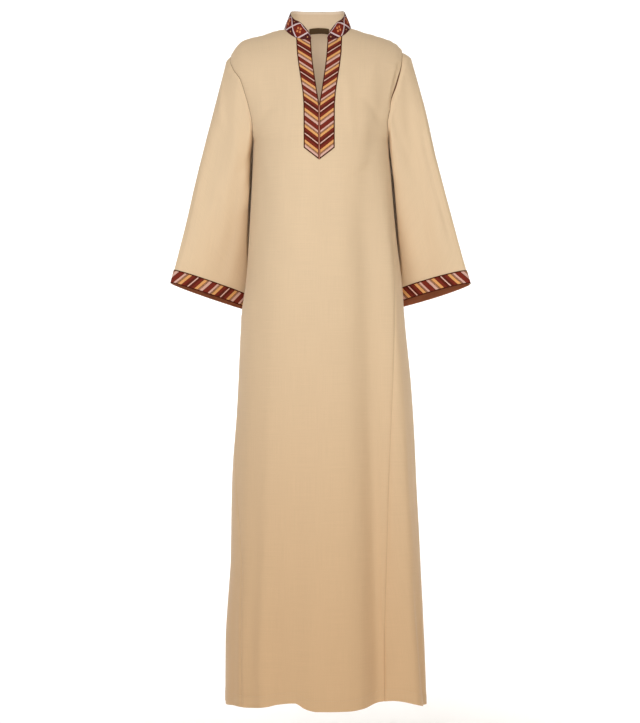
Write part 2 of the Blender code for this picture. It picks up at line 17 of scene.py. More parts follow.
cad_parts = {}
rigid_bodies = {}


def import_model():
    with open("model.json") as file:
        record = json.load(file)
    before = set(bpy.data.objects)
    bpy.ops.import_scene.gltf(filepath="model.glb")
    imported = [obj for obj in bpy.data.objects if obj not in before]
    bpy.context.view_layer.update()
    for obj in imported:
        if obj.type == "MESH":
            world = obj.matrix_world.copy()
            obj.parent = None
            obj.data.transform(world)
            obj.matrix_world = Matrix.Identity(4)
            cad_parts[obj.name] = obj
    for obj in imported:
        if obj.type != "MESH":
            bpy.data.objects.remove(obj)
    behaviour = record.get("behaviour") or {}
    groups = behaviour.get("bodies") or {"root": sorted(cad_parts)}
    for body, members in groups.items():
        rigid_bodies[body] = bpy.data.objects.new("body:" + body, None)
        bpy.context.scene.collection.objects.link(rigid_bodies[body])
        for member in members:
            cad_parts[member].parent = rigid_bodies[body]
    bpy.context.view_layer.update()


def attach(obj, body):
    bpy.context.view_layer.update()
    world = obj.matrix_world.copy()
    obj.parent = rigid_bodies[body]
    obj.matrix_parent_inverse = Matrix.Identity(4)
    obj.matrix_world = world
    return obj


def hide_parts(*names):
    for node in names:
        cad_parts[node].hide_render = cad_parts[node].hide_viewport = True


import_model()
SIDES = ("left", "right")
FACES = ("front", "back")

# %% [markdown]
# The camera comes first, because every later choice is judged through it. A garment of this length is
# photographed from a few metres away with the camera level at half its height, so that upright seams stay
# upright. A long lens at that distance keeps the nearer sleeves from looking larger than the rest. The lens
# is worked out from how many picture pixels one metre takes at one metre away.

# %% Camera
PICTURE_HEIGHT = 723
PIXELS_PER_METRE_AT_ONE_METRE = 1869.0
SENSOR = 36.0
CAMERA_PLACE = (0.0017, -4.0, -0.707)
camera_data = bpy.data.cameras.new("studio_camera")
camera_data.sensor_fit = "VERTICAL"
camera_data.sensor_height = SENSOR
camera_data.lens = SENSOR * PIXELS_PER_METRE_AT_ONE_METRE / PICTURE_HEIGHT
camera = bpy.data.objects.new("studio_camera", camera_data)
camera.location = CAMERA_PLACE
camera.rotation_euler = (math.radians(90.0), 0.0, 0.0)
bpy.context.scene.collection.objects.link(camera)
bpy.context.scene.camera = camera
print("lens in millimetres:", round(camera_data.lens, 1))

# %% [markdown]
# The studio is a pale floor that curves up into a pale wall, as photographers use so that no horizon shows.
# The curve is one quarter circle between two flat stretches, drawn as a profile and swept sideways. Seen
# from behind, the paper is clear, and so the back of the garment can be looked at too.

# %% Floor and backdrop
FLOOR_Z = -1.62
FLOOR_NEAR_Y = -9.0
WALL_Y = 2.6
WALL_TOP_Z = 7.0
BEND = 1.2
BEND_STEPS = 12
STAGE_HALF = 9.0
PAPER = {"Base Color": (0.95, 0.95, 0.95, 1.0), "Roughness": 0.9,
         "Emission Color": (0.97, 0.98, 1.0, 1.0), "Emission Strength": 0.10}


def add_mesh(name, points, faces, material, corners=None):
    """A smooth mesh object; corners is the place of each face's corners on the flat cloth."""
    mesh = bpy.data.meshes.new(name)
    mesh.from_pydata(points, [], faces)
    if corners is not None:
        layer = mesh.uv_layers.new(name="cloth_map")
        layer.data.foreach_set("uv", corners.astype(np.float32).reshape(-1))
    mesh.shade_smooth()
    mesh.materials.append(material)
    obj = bpy.data.objects.new(name, mesh)
    bpy.context.scene.collection.objects.link(obj)
    return obj


profile = [(FLOOR_NEAR_Y, FLOOR_Z)]
for k in range(BEND_STEPS + 1):
    turn = math.radians(90.0 * k / BEND_STEPS)
    profile.append((WALL_Y - BEND + BEND * math.sin(turn), FLOOR_Z + BEND - BEND * math.cos(turn)))
profile.append((WALL_Y, WALL_TOP_Z))
count = len(profile)

paper = bpy.data.materials.new("pale_paper")
paper.use_nodes = True
nodes = paper.node_tree.nodes
for name, value in PAPER.items():
    nodes["Principled BSDF"].inputs[name].default_value = value
either = nodes.new("ShaderNodeMixShader")
for output, socket in (
        (nodes.new("ShaderNodeNewGeometry").outputs["Backfacing"], either.inputs[0]),
        (nodes["Principled BSDF"].outputs[0], either.inputs[1]),
        (nodes.new("ShaderNodeBsdfTransparent").outputs[0], either.inputs[2]),
        (either.outputs[0], nodes["Material Output"].inputs["Surface"])):
    paper.node_tree.links.new(output, socket)
backdrop = add_mesh(
    "backdrop", [(x, y, z) for x in (-STAGE_HALF, STAGE_HALF) for y, z in profile],
    [(k, count + k, count + k + 1, k + 1) for k in range(count - 1)], paper)
print("floor at", FLOOR_Z)

# %% [markdown]
# Studio light for cloth is large and soft, so that only broad folds cast shade. A big lamp stands to the
# left of the camera and above it, a weaker one fills the right, and the room gives an even and slightly
# warmer light. The wall gets lamps of its own so that it stays white. A very small lamp stands inside the
# chest and lights the inside of the neck, which would be a black hole without it. The camera doesn't see
# the lamps themselves.

# %% Light
def table(columns, *rows):
    """Rows of numbers whose columns have names."""
    Row = namedtuple("Row", columns)
    return [Row(*row) for row in rows]


LAMPS = table(
    "name place aim size power colour",
    ("key", (-1.0, -3.0, 1.3), (0.0, 0.0, -0.3), 1.6, 47.5, (0.95, 1.0, 1.09)),
    ("fill", (2.3, -3.1, -0.5), (0.0, 0.0, -1.0), 2.4, 17.0, (1.03, 1.0, 0.95)),
    ("front", (0.1, -3.7, -0.4), (0.0, 0.0, -0.8), 1.6, 24.0, (0.98, 1.0, 1.02)),
    ("wall_left", (-2.5, 1.0, -0.1), (-1.9, 2.6, -0.3), 2.2, 52.0, (1.0, 1.0, 1.0)),
    ("wall_right", (2.5, 1.0, -0.2), (1.9, 2.6, -0.4), 2.2, 54.0, (1.0, 1.0, 1.0)),
    ("inside_neck", (0.0, -0.085, -0.140), (0.0, 0.075, -0.045), 0.05, 0.13, (0.88, 1.0, 1.20)),
)
ROOM_LIGHT = 0.295
ROOM_COLOUR = (1.08, 0.97, 0.80, 1.0)

for lamp in LAMPS:
    data = bpy.data.lights.new(lamp.name, "AREA")
    data.shape = "SQUARE"
    data.size = lamp.size
    data.energy = lamp.power
    data.color = lamp.colour
    obj = bpy.data.objects.new(lamp.name, data)
    obj.location = lamp.place
    obj.rotation_euler = (Vector(lamp.aim) - Vector(lamp.place)).to_track_quat("-Z", "Y").to_euler()
    obj.visible_camera = False
    bpy.context.scene.collection.objects.link(obj)
world = bpy.data.worlds.new("room")
world.use_nodes = True
world.node_tree.nodes["Background"].inputs["Color"].default_value = ROOM_COLOUR
world.node_tree.nodes["Background"].inputs["Strength"].default_value = ROOM_LIGHT
bpy.context.scene.world = world
bpy.context.scene.view_settings.view_transform = "Standard"
print("lamps:", len(LAMPS))

# %% [markdown]
# Cloth has no form of its own: it takes the form of what fills it. This kaftan stands filled out, as if
# somebody wore it, so its form comes from a plain figure. The figure is drawn as a few level cuts through
# it. Each cut is a rounded oblong, half widths to left and right, depths to front and back. A smooth curve
# joins the rows of each table, so a reader can change the fit by changing a row.

# %% Sizes of the figure
UNDERARM_Z = -0.245
SPLIT_DROP = 0.085
FIGURE_BASE_Z = UNDERARM_Z - SPLIT_DROP
HEM_DEEP_Z = -1.44
SECTION_POWER = 2.3
ROUND = {"front": 2.0, "back": 3.9}
FRONT_DEPTH = 0.135
BACK_DEPTH = 0.125
NECK_POWER = 2.6
NECK_DEPTH = {"front": 0.070, "back": 0.055}
NECK_HALF = {"left": 0.0736, "right": 0.0670}

# Half widths, and how far the side seams run forward of the sides, in degrees
SECTIONS = table(
    "z left right left_seam right_seam",
    (0.03, 0.23, 0.23, 0, 0), (-0.05, 0.222, 0.215, 0, 0), (-0.09, 0.208, 0.2, 0, 0),
    (-0.13, 0.186, 0.185, 0, 0), (-0.18, 0.164, 0.166, 0, 0), (-0.22, 0.149, 0.155, 0, 0),
    (-0.245, 0.1408, 0.149, 0, 0), (-0.32, 0.1434, 0.1547, 1, 8), (-0.434, 0.1494, 0.1641, 2, 20),
    (-0.53, 0.1558, 0.176, 3, 28), (-0.61, 0.1663, 0.1825, 4, 33), (-0.79, 0.1748, 0.199, 9, 41),
    (-0.96, 0.1855, 0.2082, 20, 45.5), (-1.13, 0.1885, 0.2189, 32, 49),
    (-1.303, 0.1985, 0.2285, 37, 52), (-1.45, 0.199, 0.2355, 39, 53.5),
)
DEPTHS = table(
    "z front back",
    (0.03, FRONT_DEPTH, BACK_DEPTH), (FIGURE_BASE_Z, FRONT_DEPTH, BACK_DEPTH), (-0.6, 0.137, 0.122),
    (-1.0, 0.143, 0.128), (-1.45, 0.15, 0.14),
)
SHOULDER = table(
    "reach left right",
    (0.0, 0.0195, 0.0195), (0.012, 0.019, 0.019), (0.04, 0.0135, 0.0135), (0.07, 0.0046, 0.0046),
    (0.1, -0.002, -0.005), (0.125, -0.011, -0.0125), (0.15, -0.017, -0.0205),
    (0.165, -0.023, -0.029), (0.178, -0.035, -0.043), (0.19, -0.053, -0.06), (0.2, -0.07, -0.075),
)
# Distance from the middle, by the part of the way from the shoulder down to the underarm
ARMHOLE = table(
    "part left right",
    (0.0, 0.19, 0.18), (0.07, 0.1905, 0.1785), (0.18, 0.1835, 0.1758), (0.3, 0.168, 0.1708),
    (0.42, 0.16, 0.1652), (0.6, 0.15, 0.1552), (0.8, 0.1425, 0.148), (1.0, 0.1408, 0.149),
)
# Height of the hem round the garment: 0 right side, 90 front, 180 left side, 270 back
HEM = table(
    "angle z",
    (0, -1.437), (25, -1.431), (48, -1.4157), (55, -1.4176), (62, -1.421), (70, -1.4262),
    (78, -1.4287), (91, -1.428), (96, -1.4235), (102, -1.4125), (112, -1.4165), (120, -1.4225),
    (135, -1.4275), (150, -1.4285), (180, -1.436), (225, -1.428), (260, -1.436), (300, -1.424),
    (335, -1.433), (360, -1.437),
)


def smooth_table(rows, key, column):
    """A smooth curve through one column of a table, with no overshoot between its rows."""
    points = sorted((getattr(row, key), getattr(row, column)) for row in rows)
    xs = np.array([p[0] for p in points], float)
    ys = np.array([p[1] for p in points], float)
    steps = np.diff(xs)
    slopes = np.diff(ys) / steps
    tangents = np.zeros(len(xs))
    for i in range(1, len(xs) - 1):
        before = slopes[i - 1]
        after = slopes[i]
        if before * after > 0:
            tangents[i] = 2 * before * after / (before + after)
    tangents[0] = slopes[0]
    tangents[-1] = slopes[-1]

    def curve(at):
        at = np.clip(np.asarray(at, float), xs[0], xs[-1])
        i = np.clip(np.searchsorted(xs, at) - 1, 0, len(steps) - 1)
        t = (at - xs[i]) / steps[i]
        rise = ys[i] * (1 + 2 * t) * (1 - t) ** 2 + ys[i + 1] * t * t * (3 - 2 * t)
        return rise + steps[i] * (tangents[i] * t * (1 - t) ** 2 - tangents[i + 1] * t * t * (1 - t))

    return curve


def curves(rows, key, names):
    """A smooth curve for each named column of a table."""
    return {name: smooth_table(rows, key, name) for name in names}


HALF_WIDTH = curves(SECTIONS, "z", SIDES)
SEAM_TURN = {side: smooth_table(SECTIONS, "z", side + "_seam") for side in SIDES}
DEPTH = curves(DEPTHS, "z", FACES)
SHOULDER_Z = curves(SHOULDER, "reach", SIDES)
ARMHOLE_X = curves(ARMHOLE, "part", SIDES)
HEM_Z = smooth_table(HEM, "angle", "z")
HAND = {"left": -1.0, "right": 1.0}
OUTWARD = {"front": -1.0, "back": 1.0}
print("half width at the underarm:", float(HALF_WIDTH["left"](UNDERARM_Z)))

# %% [markdown]
# Where the figure leaves cloth to spare, it hangs in long soft folds. A fold here is a ridge or a trough
# with a head, a foot, a half width and a depth, and it grows slowly from its head down, as a fold does
# under its own weight. Simulating them would give folds in other places, so they are listed one by one:
# one broad trough right of the middle, a ridge beside it, quieter ones round the sides and the back.

# %% Long folds of the body
FOLD = "head head_z foot foot_z width depth"
# Angle and height where each fold starts and ends, its half width and how far it stands out
BODY_FOLDS = table(
    FOLD,
    (54, -0.2, 56, -0.56, 0.042, -0.017), (56, -0.5, 57, -1.44, 0.042, -0.0185),
    (29, -0.26, 33, -0.52, 0.018, 0.004), (88, -0.7, 90, -1.44, 0.05, 0.007),
    (36, -0.5, 27, -1.44, 0.026, 0.004), (40, -0.98, 20, -1.36, 0.022, -0.01),
    (111, -1.02, 113, -1.44, 0.03, -0.005), (142, -0.8, 140, -1.44, 0.026, 0.004),
    (200, -0.5, 206, -1.44, 0.028, -0.012), (232, -0.38, 228, -1.44, 0.034, 0.012),
    (255, -0.62, 258, -1.44, 0.028, -0.014), (283, -0.34, 280, -1.44, 0.036, 0.013),
    (310, -0.55, 304, -1.44, 0.028, -0.013), (338, -0.75, 334, -1.44, 0.03, 0.011),
    (355, -0.9, 358, -1.44, 0.022, -0.007),
)
FOLD_FULL_AT = 0.9
FOLD_PAST_FOOT = 1.2


def fade(value, start, end):
    """0 before start, 1 after end, smooth between."""
    t = np.clip((np.asarray(value, float) - start) / (end - start), 0.0, 1.0)
    return t * t * (3 - 2 * t)


def bell(value, half):
    """1 at nothing and falling smoothly on both sides, to almost 0 two half widths away."""
    return np.exp(-(value / half) ** 2)


def short_turn(angle):
    """An angle brought between -180 and 180 degrees."""
    return (angle + 180.0) % 360.0 - 180.0


def fold_push(angle, z, folds=BODY_FOLDS):
    """How far folds stand out at an angle round the body and a height."""
    push = np.zeros(np.broadcast(angle, z).shape)
    for fold in folds:
        along = np.clip((fold.head_z - z) / (fold.head_z - fold.foot_z), 0.0, FOLD_PAST_FOOT)
        centre = fold.head + (fold.foot - fold.head) * along
        across = np.radians(short_turn(angle - centre)) * HALF_WIDTH["left"](z)
        push = push + fold.depth * fade(along, 0.0, FOLD_FULL_AT) * bell(across, fold.width)
    return push


def figure_depth(side, face, reach, z):
    """Depth of the figure: full below the chest, closing to nothing at the shoulder."""
    top = SHOULDER_Z[side](reach)
    rise = np.clip((z - FIGURE_BASE_Z) / (top - FIGURE_BASE_Z), 0.0, 1.0)
    power = ROUND[face]
    return DEPTH[face](z) * (1 - rise ** power) ** (1 / power)


def figure_point(side, face, x, z):
    """Points of the cloth at distance x from the middle, seen from the front, and height z."""
    x, z = np.broadcast_arrays(np.asarray(x, float), np.asarray(z, float))
    half = HALF_WIDTH[side](z)
    bulge = np.clip(1 - (np.clip(x, 0, None) / half) ** SECTION_POWER, 0.0, None) ** (1 / SECTION_POWER)
    depth = figure_depth(side, face, x, z) * bulge
    return np.stack((HAND[side] * x, OUTWARD[face] * depth, z), axis=-1)


def body_point(angle, z):
    """Points of the cloth at an angle round the body and a height below the underarm."""
    cos = np.cos(np.radians(angle))
    sin = np.sin(np.radians(angle))
    right = cos >= 0
    half = np.where(right, HALF_WIDTH["right"](z), HALF_WIDTH["left"](z))
    reach = half * np.abs(cos) ** (2 / SECTION_POWER)
    depth = np.zeros(reach.shape)
    for side, on_side in (("left", ~right), ("right", right)):
        for face, on_face in (("front", sin >= 0), ("back", sin < 0)):
            depth = np.where(on_side & on_face, figure_depth(side, face, reach, z), depth)
    out = depth * np.abs(sin) ** (2 / SECTION_POWER)
    across = (reach / half) ** (SECTION_POWER - 1) / half
    through = (out / depth) ** (SECTION_POWER - 1) / depth
    push = fold_push(angle, z) / np.hypot(across, through)
    x = np.where(right, 1.0, -1.0) * (reach + across * push)
    y = np.where(sin >= 0, -1.0, 1.0) * (out + through * push)
    return np.stack((x, y, z), axis=-1)


print("front of the waist:", body_point(np.array(90.0), np.array(-0.6)))

# %% [markdown]
# Each half of the front and of the back is a grid of points, so that the weave can follow it. A narrow
# strip runs down the middle, where the ribbon or the label lies. The rest is stretched between that strip,
# the armhole, the shoulder seam and a line across the chest, and below that line the rows run round the
# body. Stretching one grid over the whole half keeps every seam a clean edge of the grid. Columns crowd
# together beside the seams, because the cloth rolls in there within a few millimetres.

# %% Grids of the front and the back
NECK_STEPS = 6
CROSS_STEPS = 11
STRIP_STEPS = {"front": 3, "back": 2}
LABEL_HALF = 0.0215
# Rows of the upper grids, as parts of the way up; some must lie just where the ribbon or the label ends
RIBBON_FROM = 1 / 15
LABEL_FROM = 8 / 16
LABEL_TO = 9 / 16
UPPER_ROWS = 81
UPPER_PARTS = np.unique(np.concatenate((np.linspace(0, 1, UPPER_ROWS), (RIBBON_FROM, LABEL_TO))))
COLUMNS = np.array([0, 0.006, 0.014, 0.026, 0.045] + list(np.linspace(0.07, 0.93, 36))
                   + [0.955, 0.974, 0.986, 0.994, 1])
STRIP_COLUMNS = np.array([0, 0.04, 0.10, 0.2, 0.35, 0.5, 0.65, 0.8, 0.9, 0.96, 1])
EVEN_COLUMNS_AT = 0.6
TINY = 1e-6
ROUNDING = 1e-9
FACE_ANGLE = {"front": 90.0, "back": 270.0}

# The opening's edge and the ribbon's outer edge, from the split line up to the neckline
PLACKET_COLUMNS = "middle_z edge_z inner outer"
PLACKET = table(
    PLACKET_COLUMNS,
    (-0.328, -0.328, 0.0, 0.032), (-0.2895, -0.2642, 0.0, 0.032), (-0.25, -0.235, 0.0, 0.032),
    (-0.21, -0.205, 0.0, 0.0322), (-0.1715, -0.1715, 0.0, 0.0325), (-0.144, -0.144, 0.0046, 0.0347),
    (-0.118, -0.118, 0.0084, 0.0386), (-0.09, -0.09, 0.0124, 0.043), (-0.06, -0.06, 0.0155, 0.0465),
)
PLACKET_TOP_INNER = 0.0173
PLACKET_TOP_OUTER = 0.0484
BACK_STRIP_Z = (-0.328, -0.270, -0.215, -0.165, -0.120, -0.080, -0.045, -0.018)
LABEL_FOOT = 0.0080
LABEL_TOP = 0.0012


def neck_point(side, face, turn):
    """Points of the neckline; turn is 0 at the middle and 90 degrees at the shoulder seam."""
    x = NECK_HALF[side] * np.sin(np.radians(turn)) ** (2 / NECK_POWER)
    y = NECK_DEPTH[face] * np.clip(np.cos(np.radians(turn)), 0, None) ** (2 / NECK_POWER)
    bulge = (1 - (x / HALF_WIDTH[side](0.0)) ** SECTION_POWER) ** (1 / SECTION_POWER)
    power = ROUND[face]
    rise = (1 - (y / (DEPTH[face](0.0) * bulge)) ** power) ** (1 / power)
    z = FIGURE_BASE_Z + rise * (SHOULDER_Z[side](x) - FIGURE_BASE_Z)
    return figure_point(side, face, x, z)


def neck_turn(side, x):
    """The turn at which the neckline is at distance x from the middle."""
    return np.degrees(np.arcsin((x / NECK_HALF[side]) ** (NECK_POWER / 2)))


def armhole_loop(side, face, parts):
    """Points of half an armhole, from the underarm (0) up to the shoulder seam (1)."""
    tip = SHOULDER_Z[side](ARMHOLE_X[side](0.0))
    height = tip - UNDERARM_Z
    z = UNDERARM_Z + height * (1 - np.cos(np.pi * parts)) / 2
    return figure_point(side, face, ARMHOLE_X[side]((tip - z) / height), z)


def split_height(side, x):
    """Line across the chest and down from the underarm, where the lower rows start."""
    half = HALF_WIDTH[side](UNDERARM_Z)
    return UNDERARM_Z - SPLIT_DROP * (1 - np.minimum(1.0, x / half) ** 2)


def strip_table(side, face, parts):
    """Distance from the middle and height of the strip at each of its own rows."""
    if face == "front":
        rows = PLACKET
        inner_top, outer_top = PLACKET_TOP_INNER, PLACKET_TOP_OUTER
    else:
        rows = table(PLACKET_COLUMNS, *((z, z, 0.0, LABEL_HALF) for z in BACK_STRIP_Z))
        inner_top, outer_top = 0.0, LABEL_HALF
    places = []
    for n, row in enumerate(rows):
        x = row.inner + (row.outer - row.inner) * parts
        z = row.middle_z + (row.edge_z - row.middle_z) * parts
        places.append((x, split_height(side, x) if n == 0 else z))
    top = neck_point(side, face, neck_turn(side, inner_top + (outer_top - inner_top) * parts))
    drops = (LABEL_FOOT, LABEL_TOP, 0.0) if face == "back" else (0.0,)
    for drop in drops:
        places.append((np.abs(top[:, 0]), top[:, 2] - drop))
    return np.array(places), outer_top


def rows_between(places, rows):
    """Rows of an array at places between its own rows."""
    low = np.clip(np.floor(rows + ROUNDING).astype(int), 0, len(places) - 2)
    part = (rows - low)[:, None, None]
    return places[low] * (1 - part) + places[low + 1] * part


def upper_half(side, face):
    """The middle strip and the rest of one half, from the split line to the shoulder seam."""
    places, outer_top = strip_table(side, face, STRIP_COLUMNS)
    strip_count = len(places) - 1
    rows = UPPER_PARTS * (strip_count + NECK_STEPS)
    flat = rows_between(places, rows[rows <= strip_count + TINY])
    strip = figure_point(side, face, flat[:, 0], flat[:, 1])
    strip[-1] = neck_point(side, face, neck_turn(side, np.abs(places[-1, 0])))
    high = rows[rows > strip_count + TINY]
    start = neck_turn(side, outer_top)
    neck = neck_point(side, face, start + (90 - start) * (high - strip_count) / NECK_STEPS)
    inner = np.vstack((strip[:, -1], neck))
    outer = armhole_loop(side, face, UPPER_PARTS)
    return strip, stretched(side, face, inner, outer, UPPER_PARTS, COLUMNS)


def stretched(side, face, inner, outer, parts, columns):
    """Grid stretched between its inner edge, armhole, split line and shoulder seam."""
    near = np.stack((np.abs(inner[:, 0]), inner[:, 2]), axis=-1)
    far = np.stack((np.abs(outer[:, 0]), outer[:, 2]), axis=-1)
    half = HALF_WIDTH[side](UNDERARM_Z)
    lean = math.acos((near[0][0] / half) ** (SECTION_POWER / 2))
    u = columns[None, :]
    rise = (1 - u) * np.sin(np.pi / 2 * parts)[:, None] + u * ((1 - np.cos(np.pi * parts)) / 2)[:, None]
    foot_x = half * np.cos(lean * (1 - columns)) ** (2 / SECTION_POWER)
    head_x = near[-1][0] + (far[-1][0] - near[-1][0]) * columns
    foot = np.stack((foot_x, split_height(side, foot_x)), axis=-1)
    head = np.stack((head_x, SHOULDER_Z[side](head_x)), axis=-1)
    mix = columns[:, None]
    foot = foot - (1 - mix) * near[0] - mix * far[0]
    head = head - (1 - mix) * near[-1] - mix * far[-1]
    flat = (1 - mix) * near[:, None] + mix * far[:, None]
    flat = flat + (1 - rise[..., None]) * foot + rise[..., None] * head
    grid = figure_point(side, face, flat[..., 0], flat[..., 1])
    grid[:, 0] = inner
    grid[:, -1] = outer
    return grid


def lower_half(side, face, start, shares, downs):
    """Grid of one half from the split line down to the hem; start is its top row."""
    forward = OUTWARD[face]
    middle = FACE_ANGLE[face]
    towards = forward * HAND[side]
    hem_turn = (90 + forward * SEAM_TURN[side](HEM_DEEP_Z)) * shares
    foot_z = HEM_Z((middle + towards * hem_turn) % 360.0)
    z = start[:, 2] + (foot_z - start[:, 2]) * downs[:, None]
    half = HALF_WIDTH[side](start[:, 2])
    lean = np.minimum(1.0, (np.abs(start[:, 0]) / half) ** (SECTION_POWER / 2))
    top_share = np.degrees(np.arcsin(lean)) / (90 + forward * SEAM_TURN[side](start[:, 2]))
    even = fade(downs, 0.0, EVEN_COLUMNS_AT)[:, None]
    turn = (top_share + (shares - top_share) * even) * (90 + forward * SEAM_TURN[side](z))
    grid = body_point((middle + towards * turn) % 360.0, z)
    grid[0] = start
    return grid


print("upper grid of the left front:", upper_half("left", "front")[1].shape)

# %% [markdown]
# A grid becomes cloth in three steps. Grids that share an edge are joined point by point into one sheet.
# The sheet gets its creases, pushed out or in along its own normals. Then it gets a wall of real thickness,
# with an outside, an inside and a rim, so that light can't pass between two paper-thin faces. The same
# three helpers serve the body, the sleeves, the collar and every ribbon, so all of them lie on each other
# without a gap.

# %% Helpers for sheets
CLOTH = 0.0013
SHARP_AT = math.radians(60.0)
NO_ZERO = 1e-12
# Points that fall on the same step of this many to a metre are one point
WELD_STEPS = 1e5
Sheet = namedtuple("Sheet", "points quads corners maps ids normals")


def unit(vectors, least=NO_ZERO):
    """Vectors at length 1; those shorter than least stay shorter."""
    return vectors / np.maximum(np.linalg.norm(vectors, axis=1, keepdims=True), least)


def four_corners(grid):
    """The values at the four corners of each cell of a grid, in order round the cell."""
    cells = np.stack((grid[:-1, :-1], grid[:-1, 1:], grid[1:, 1:], grid[1:, :-1]), axis=2)
    return cells.reshape(-1, *cells.shape[2:])


def cross_of(points, quads):
    """A vector square to each quad, twice as long as its area."""
    return np.cross(points[quads[:, 2]] - points[quads[:, 0]], points[quads[:, 3]] - points[quads[:, 1]])


def quad_normals(points, quads):
    """Unit normals at the points of a sheet."""
    cross = cross_of(points, quads)
    normals = np.zeros_like(points)
    for corner in range(4):
        np.add.at(normals, quads[:, corner], cross)
    return unit(normals)


def turned_out(points, quads, corners, away):
    """Quads and their corners on the flat cloth, turned so that they face away."""
    if (cross_of(points, quads) * away).sum() < 0:
        return quads[:, ::-1], corners[:, ::-1]
    return quads, corners


def map_at_points(count, quads, corners):
    """The place on the flat cloth of each point, from that of the quads' corners."""
    places = np.zeros((count, 2))
    places[quads.reshape(-1)] = corners.reshape(-1, 2)
    return places


def join_grids(grids, maps, outward):
    """One sheet from several grids; maps holds one (rows, columns, 2) array in metres for each grid."""
    flat = np.vstack([grid.reshape(-1, 3) for grid in grids])
    keys = np.round(flat * WELD_STEPS).astype(np.int64)
    _, first, back = np.unique(keys, axis=0, return_index=True, return_inverse=True)
    back = back.reshape(-1)
    points = flat[first]
    quads = []
    corners = []
    ids = []
    at = 0
    for grid, cloth_map in zip(grids, maps):
        rows, columns = grid.shape[:2]
        ids.append(back[at:at + rows * columns].reshape(rows, columns))
        at += rows * columns
        four = four_corners(ids[-1])
        four, plan = turned_out(points, four, four_corners(cloth_map), outward(points[four].mean(axis=1)))
        whole = (four[:, 0] != four[:, 1]) & (four[:, 2] != four[:, 3])
        quads.append(four[whole])
        corners.append(plan[whole])
    quads = np.vstack(quads)
    corners = np.vstack(corners)
    places = map_at_points(len(points), quads, corners)
    return Sheet(points, quads, corners, places, ids, quad_normals(points, quads))


def moved(sheet, points):
    """The sheet with its points in new places."""
    return sheet._replace(points=points, normals=quad_normals(points, sheet.quads))


def pushed(sheet, push):
    """The sheet with each point moved along its normal."""
    return moved(sheet, sheet.points + sheet.normals * push[:, None])


def from_axis(points):
    """Directions away from the upright line through the middle of the garment."""
    return points * np.array((1.0, 1.0, 0.0)) + np.array((0.0, 0.0, CLOTH))


def part_of(sheet, grids, maps=None):
    """A smaller sheet on some of the points of another, given as index grids."""
    quads = []
    corners = []
    for n, here in enumerate(grids):
        four = four_corners(here)
        plan = sheet.maps[four] if maps is None else four_corners(maps[n])
        four, plan = turned_out(sheet.points, four, plan, sheet.normals[four[:, 0]])
        quads.append(four)
        corners.append(plan)
    used, local = np.unique(np.vstack(quads).reshape(-1), return_inverse=True)
    local = local.reshape(-1, 4)
    corners = np.vstack(corners)
    places = map_at_points(len(used), local, corners)
    return Sheet(sheet.points[used], local, corners, places, None, sheet.normals[used])


def free_edges(quads, count):
    """Directed edges that belong to one quad only."""
    edges = np.vstack([np.stack((quads[:, k], quads[:, (k + 1) % 4]), axis=-1) for k in range(4)])
    code = edges[:, 0] * count + edges[:, 1]
    reverse = edges[:, 1] * count + edges[:, 0]
    return edges[~np.isin(code, reverse)]


def make_wall(name, sheet, lift, thick, material):
    """A closed wall: outside lift above the sheet, thick through. lift may differ from point to point."""
    lift = np.broadcast_to(np.asarray(lift, float), len(sheet.points))[:, None]
    outer = sheet.points + sheet.normals * lift
    inner = sheet.points + sheet.normals * (lift - thick)
    count = len(outer)
    rim = free_edges(sheet.quads, count)
    start, end = rim.T
    quads = np.vstack((sheet.quads, sheet.quads[:, ::-1] + count,
                       np.stack((end, start, start + count, end + count), axis=-1)))
    rim_map = sheet.maps[np.stack((end, start, start, end), axis=-1)]
    corners = np.vstack((sheet.corners, sheet.corners[:, ::-1], rim_map))
    obj = add_mesh(name, np.vstack((outer, inner)).tolist(), quads.tolist(), material, corners)
    obj.data.set_sharp_from_angle(angle=SHARP_AT)
    print(name, len(quads), "faces")
    return obj


# %% [markdown]
# Next come the small creases that make cloth look like cloth: a seam that sinks in and puckers a little,
# short drags that start at the underarm, faint waves between the long folds. Each kind is a function that
# says how far the cloth stands out at a point, and a sheet adds them up. The waves come from a smooth noise
# stretched along the way the cloth hangs. Noise alone would look like crumpled paper, so it stays under a
# millimetre.

# %% Small creases
SEAM_DEPTH = 0.0019
SEAM_HALF = 0.0029
SEAM_STEP = 0.001
SEAM_SEARCH = 0.05
POINTS_AT_ONCE = 400
PUCKER = 0.0007
PUCKER_REACH = 0.016
PUCKER_PITCH = 0.019
PUCKER_FROM = 0.006
PUCKER_DRIFT = 37
PUCKER_CHANGE = 23
PUCKER_SWAY = 3
PUCKER_UNEVEN = 0.4
WAVE = 0.0011
WAVE_ACROSS = 17
WAVE_DOWN = 3.5
RIPPLE_ACROSS = 41
RIPPLE_DOWN = 9.0
RIPPLE_SHARE = 0.5
DRAG_BLUNTNESS = 0.7

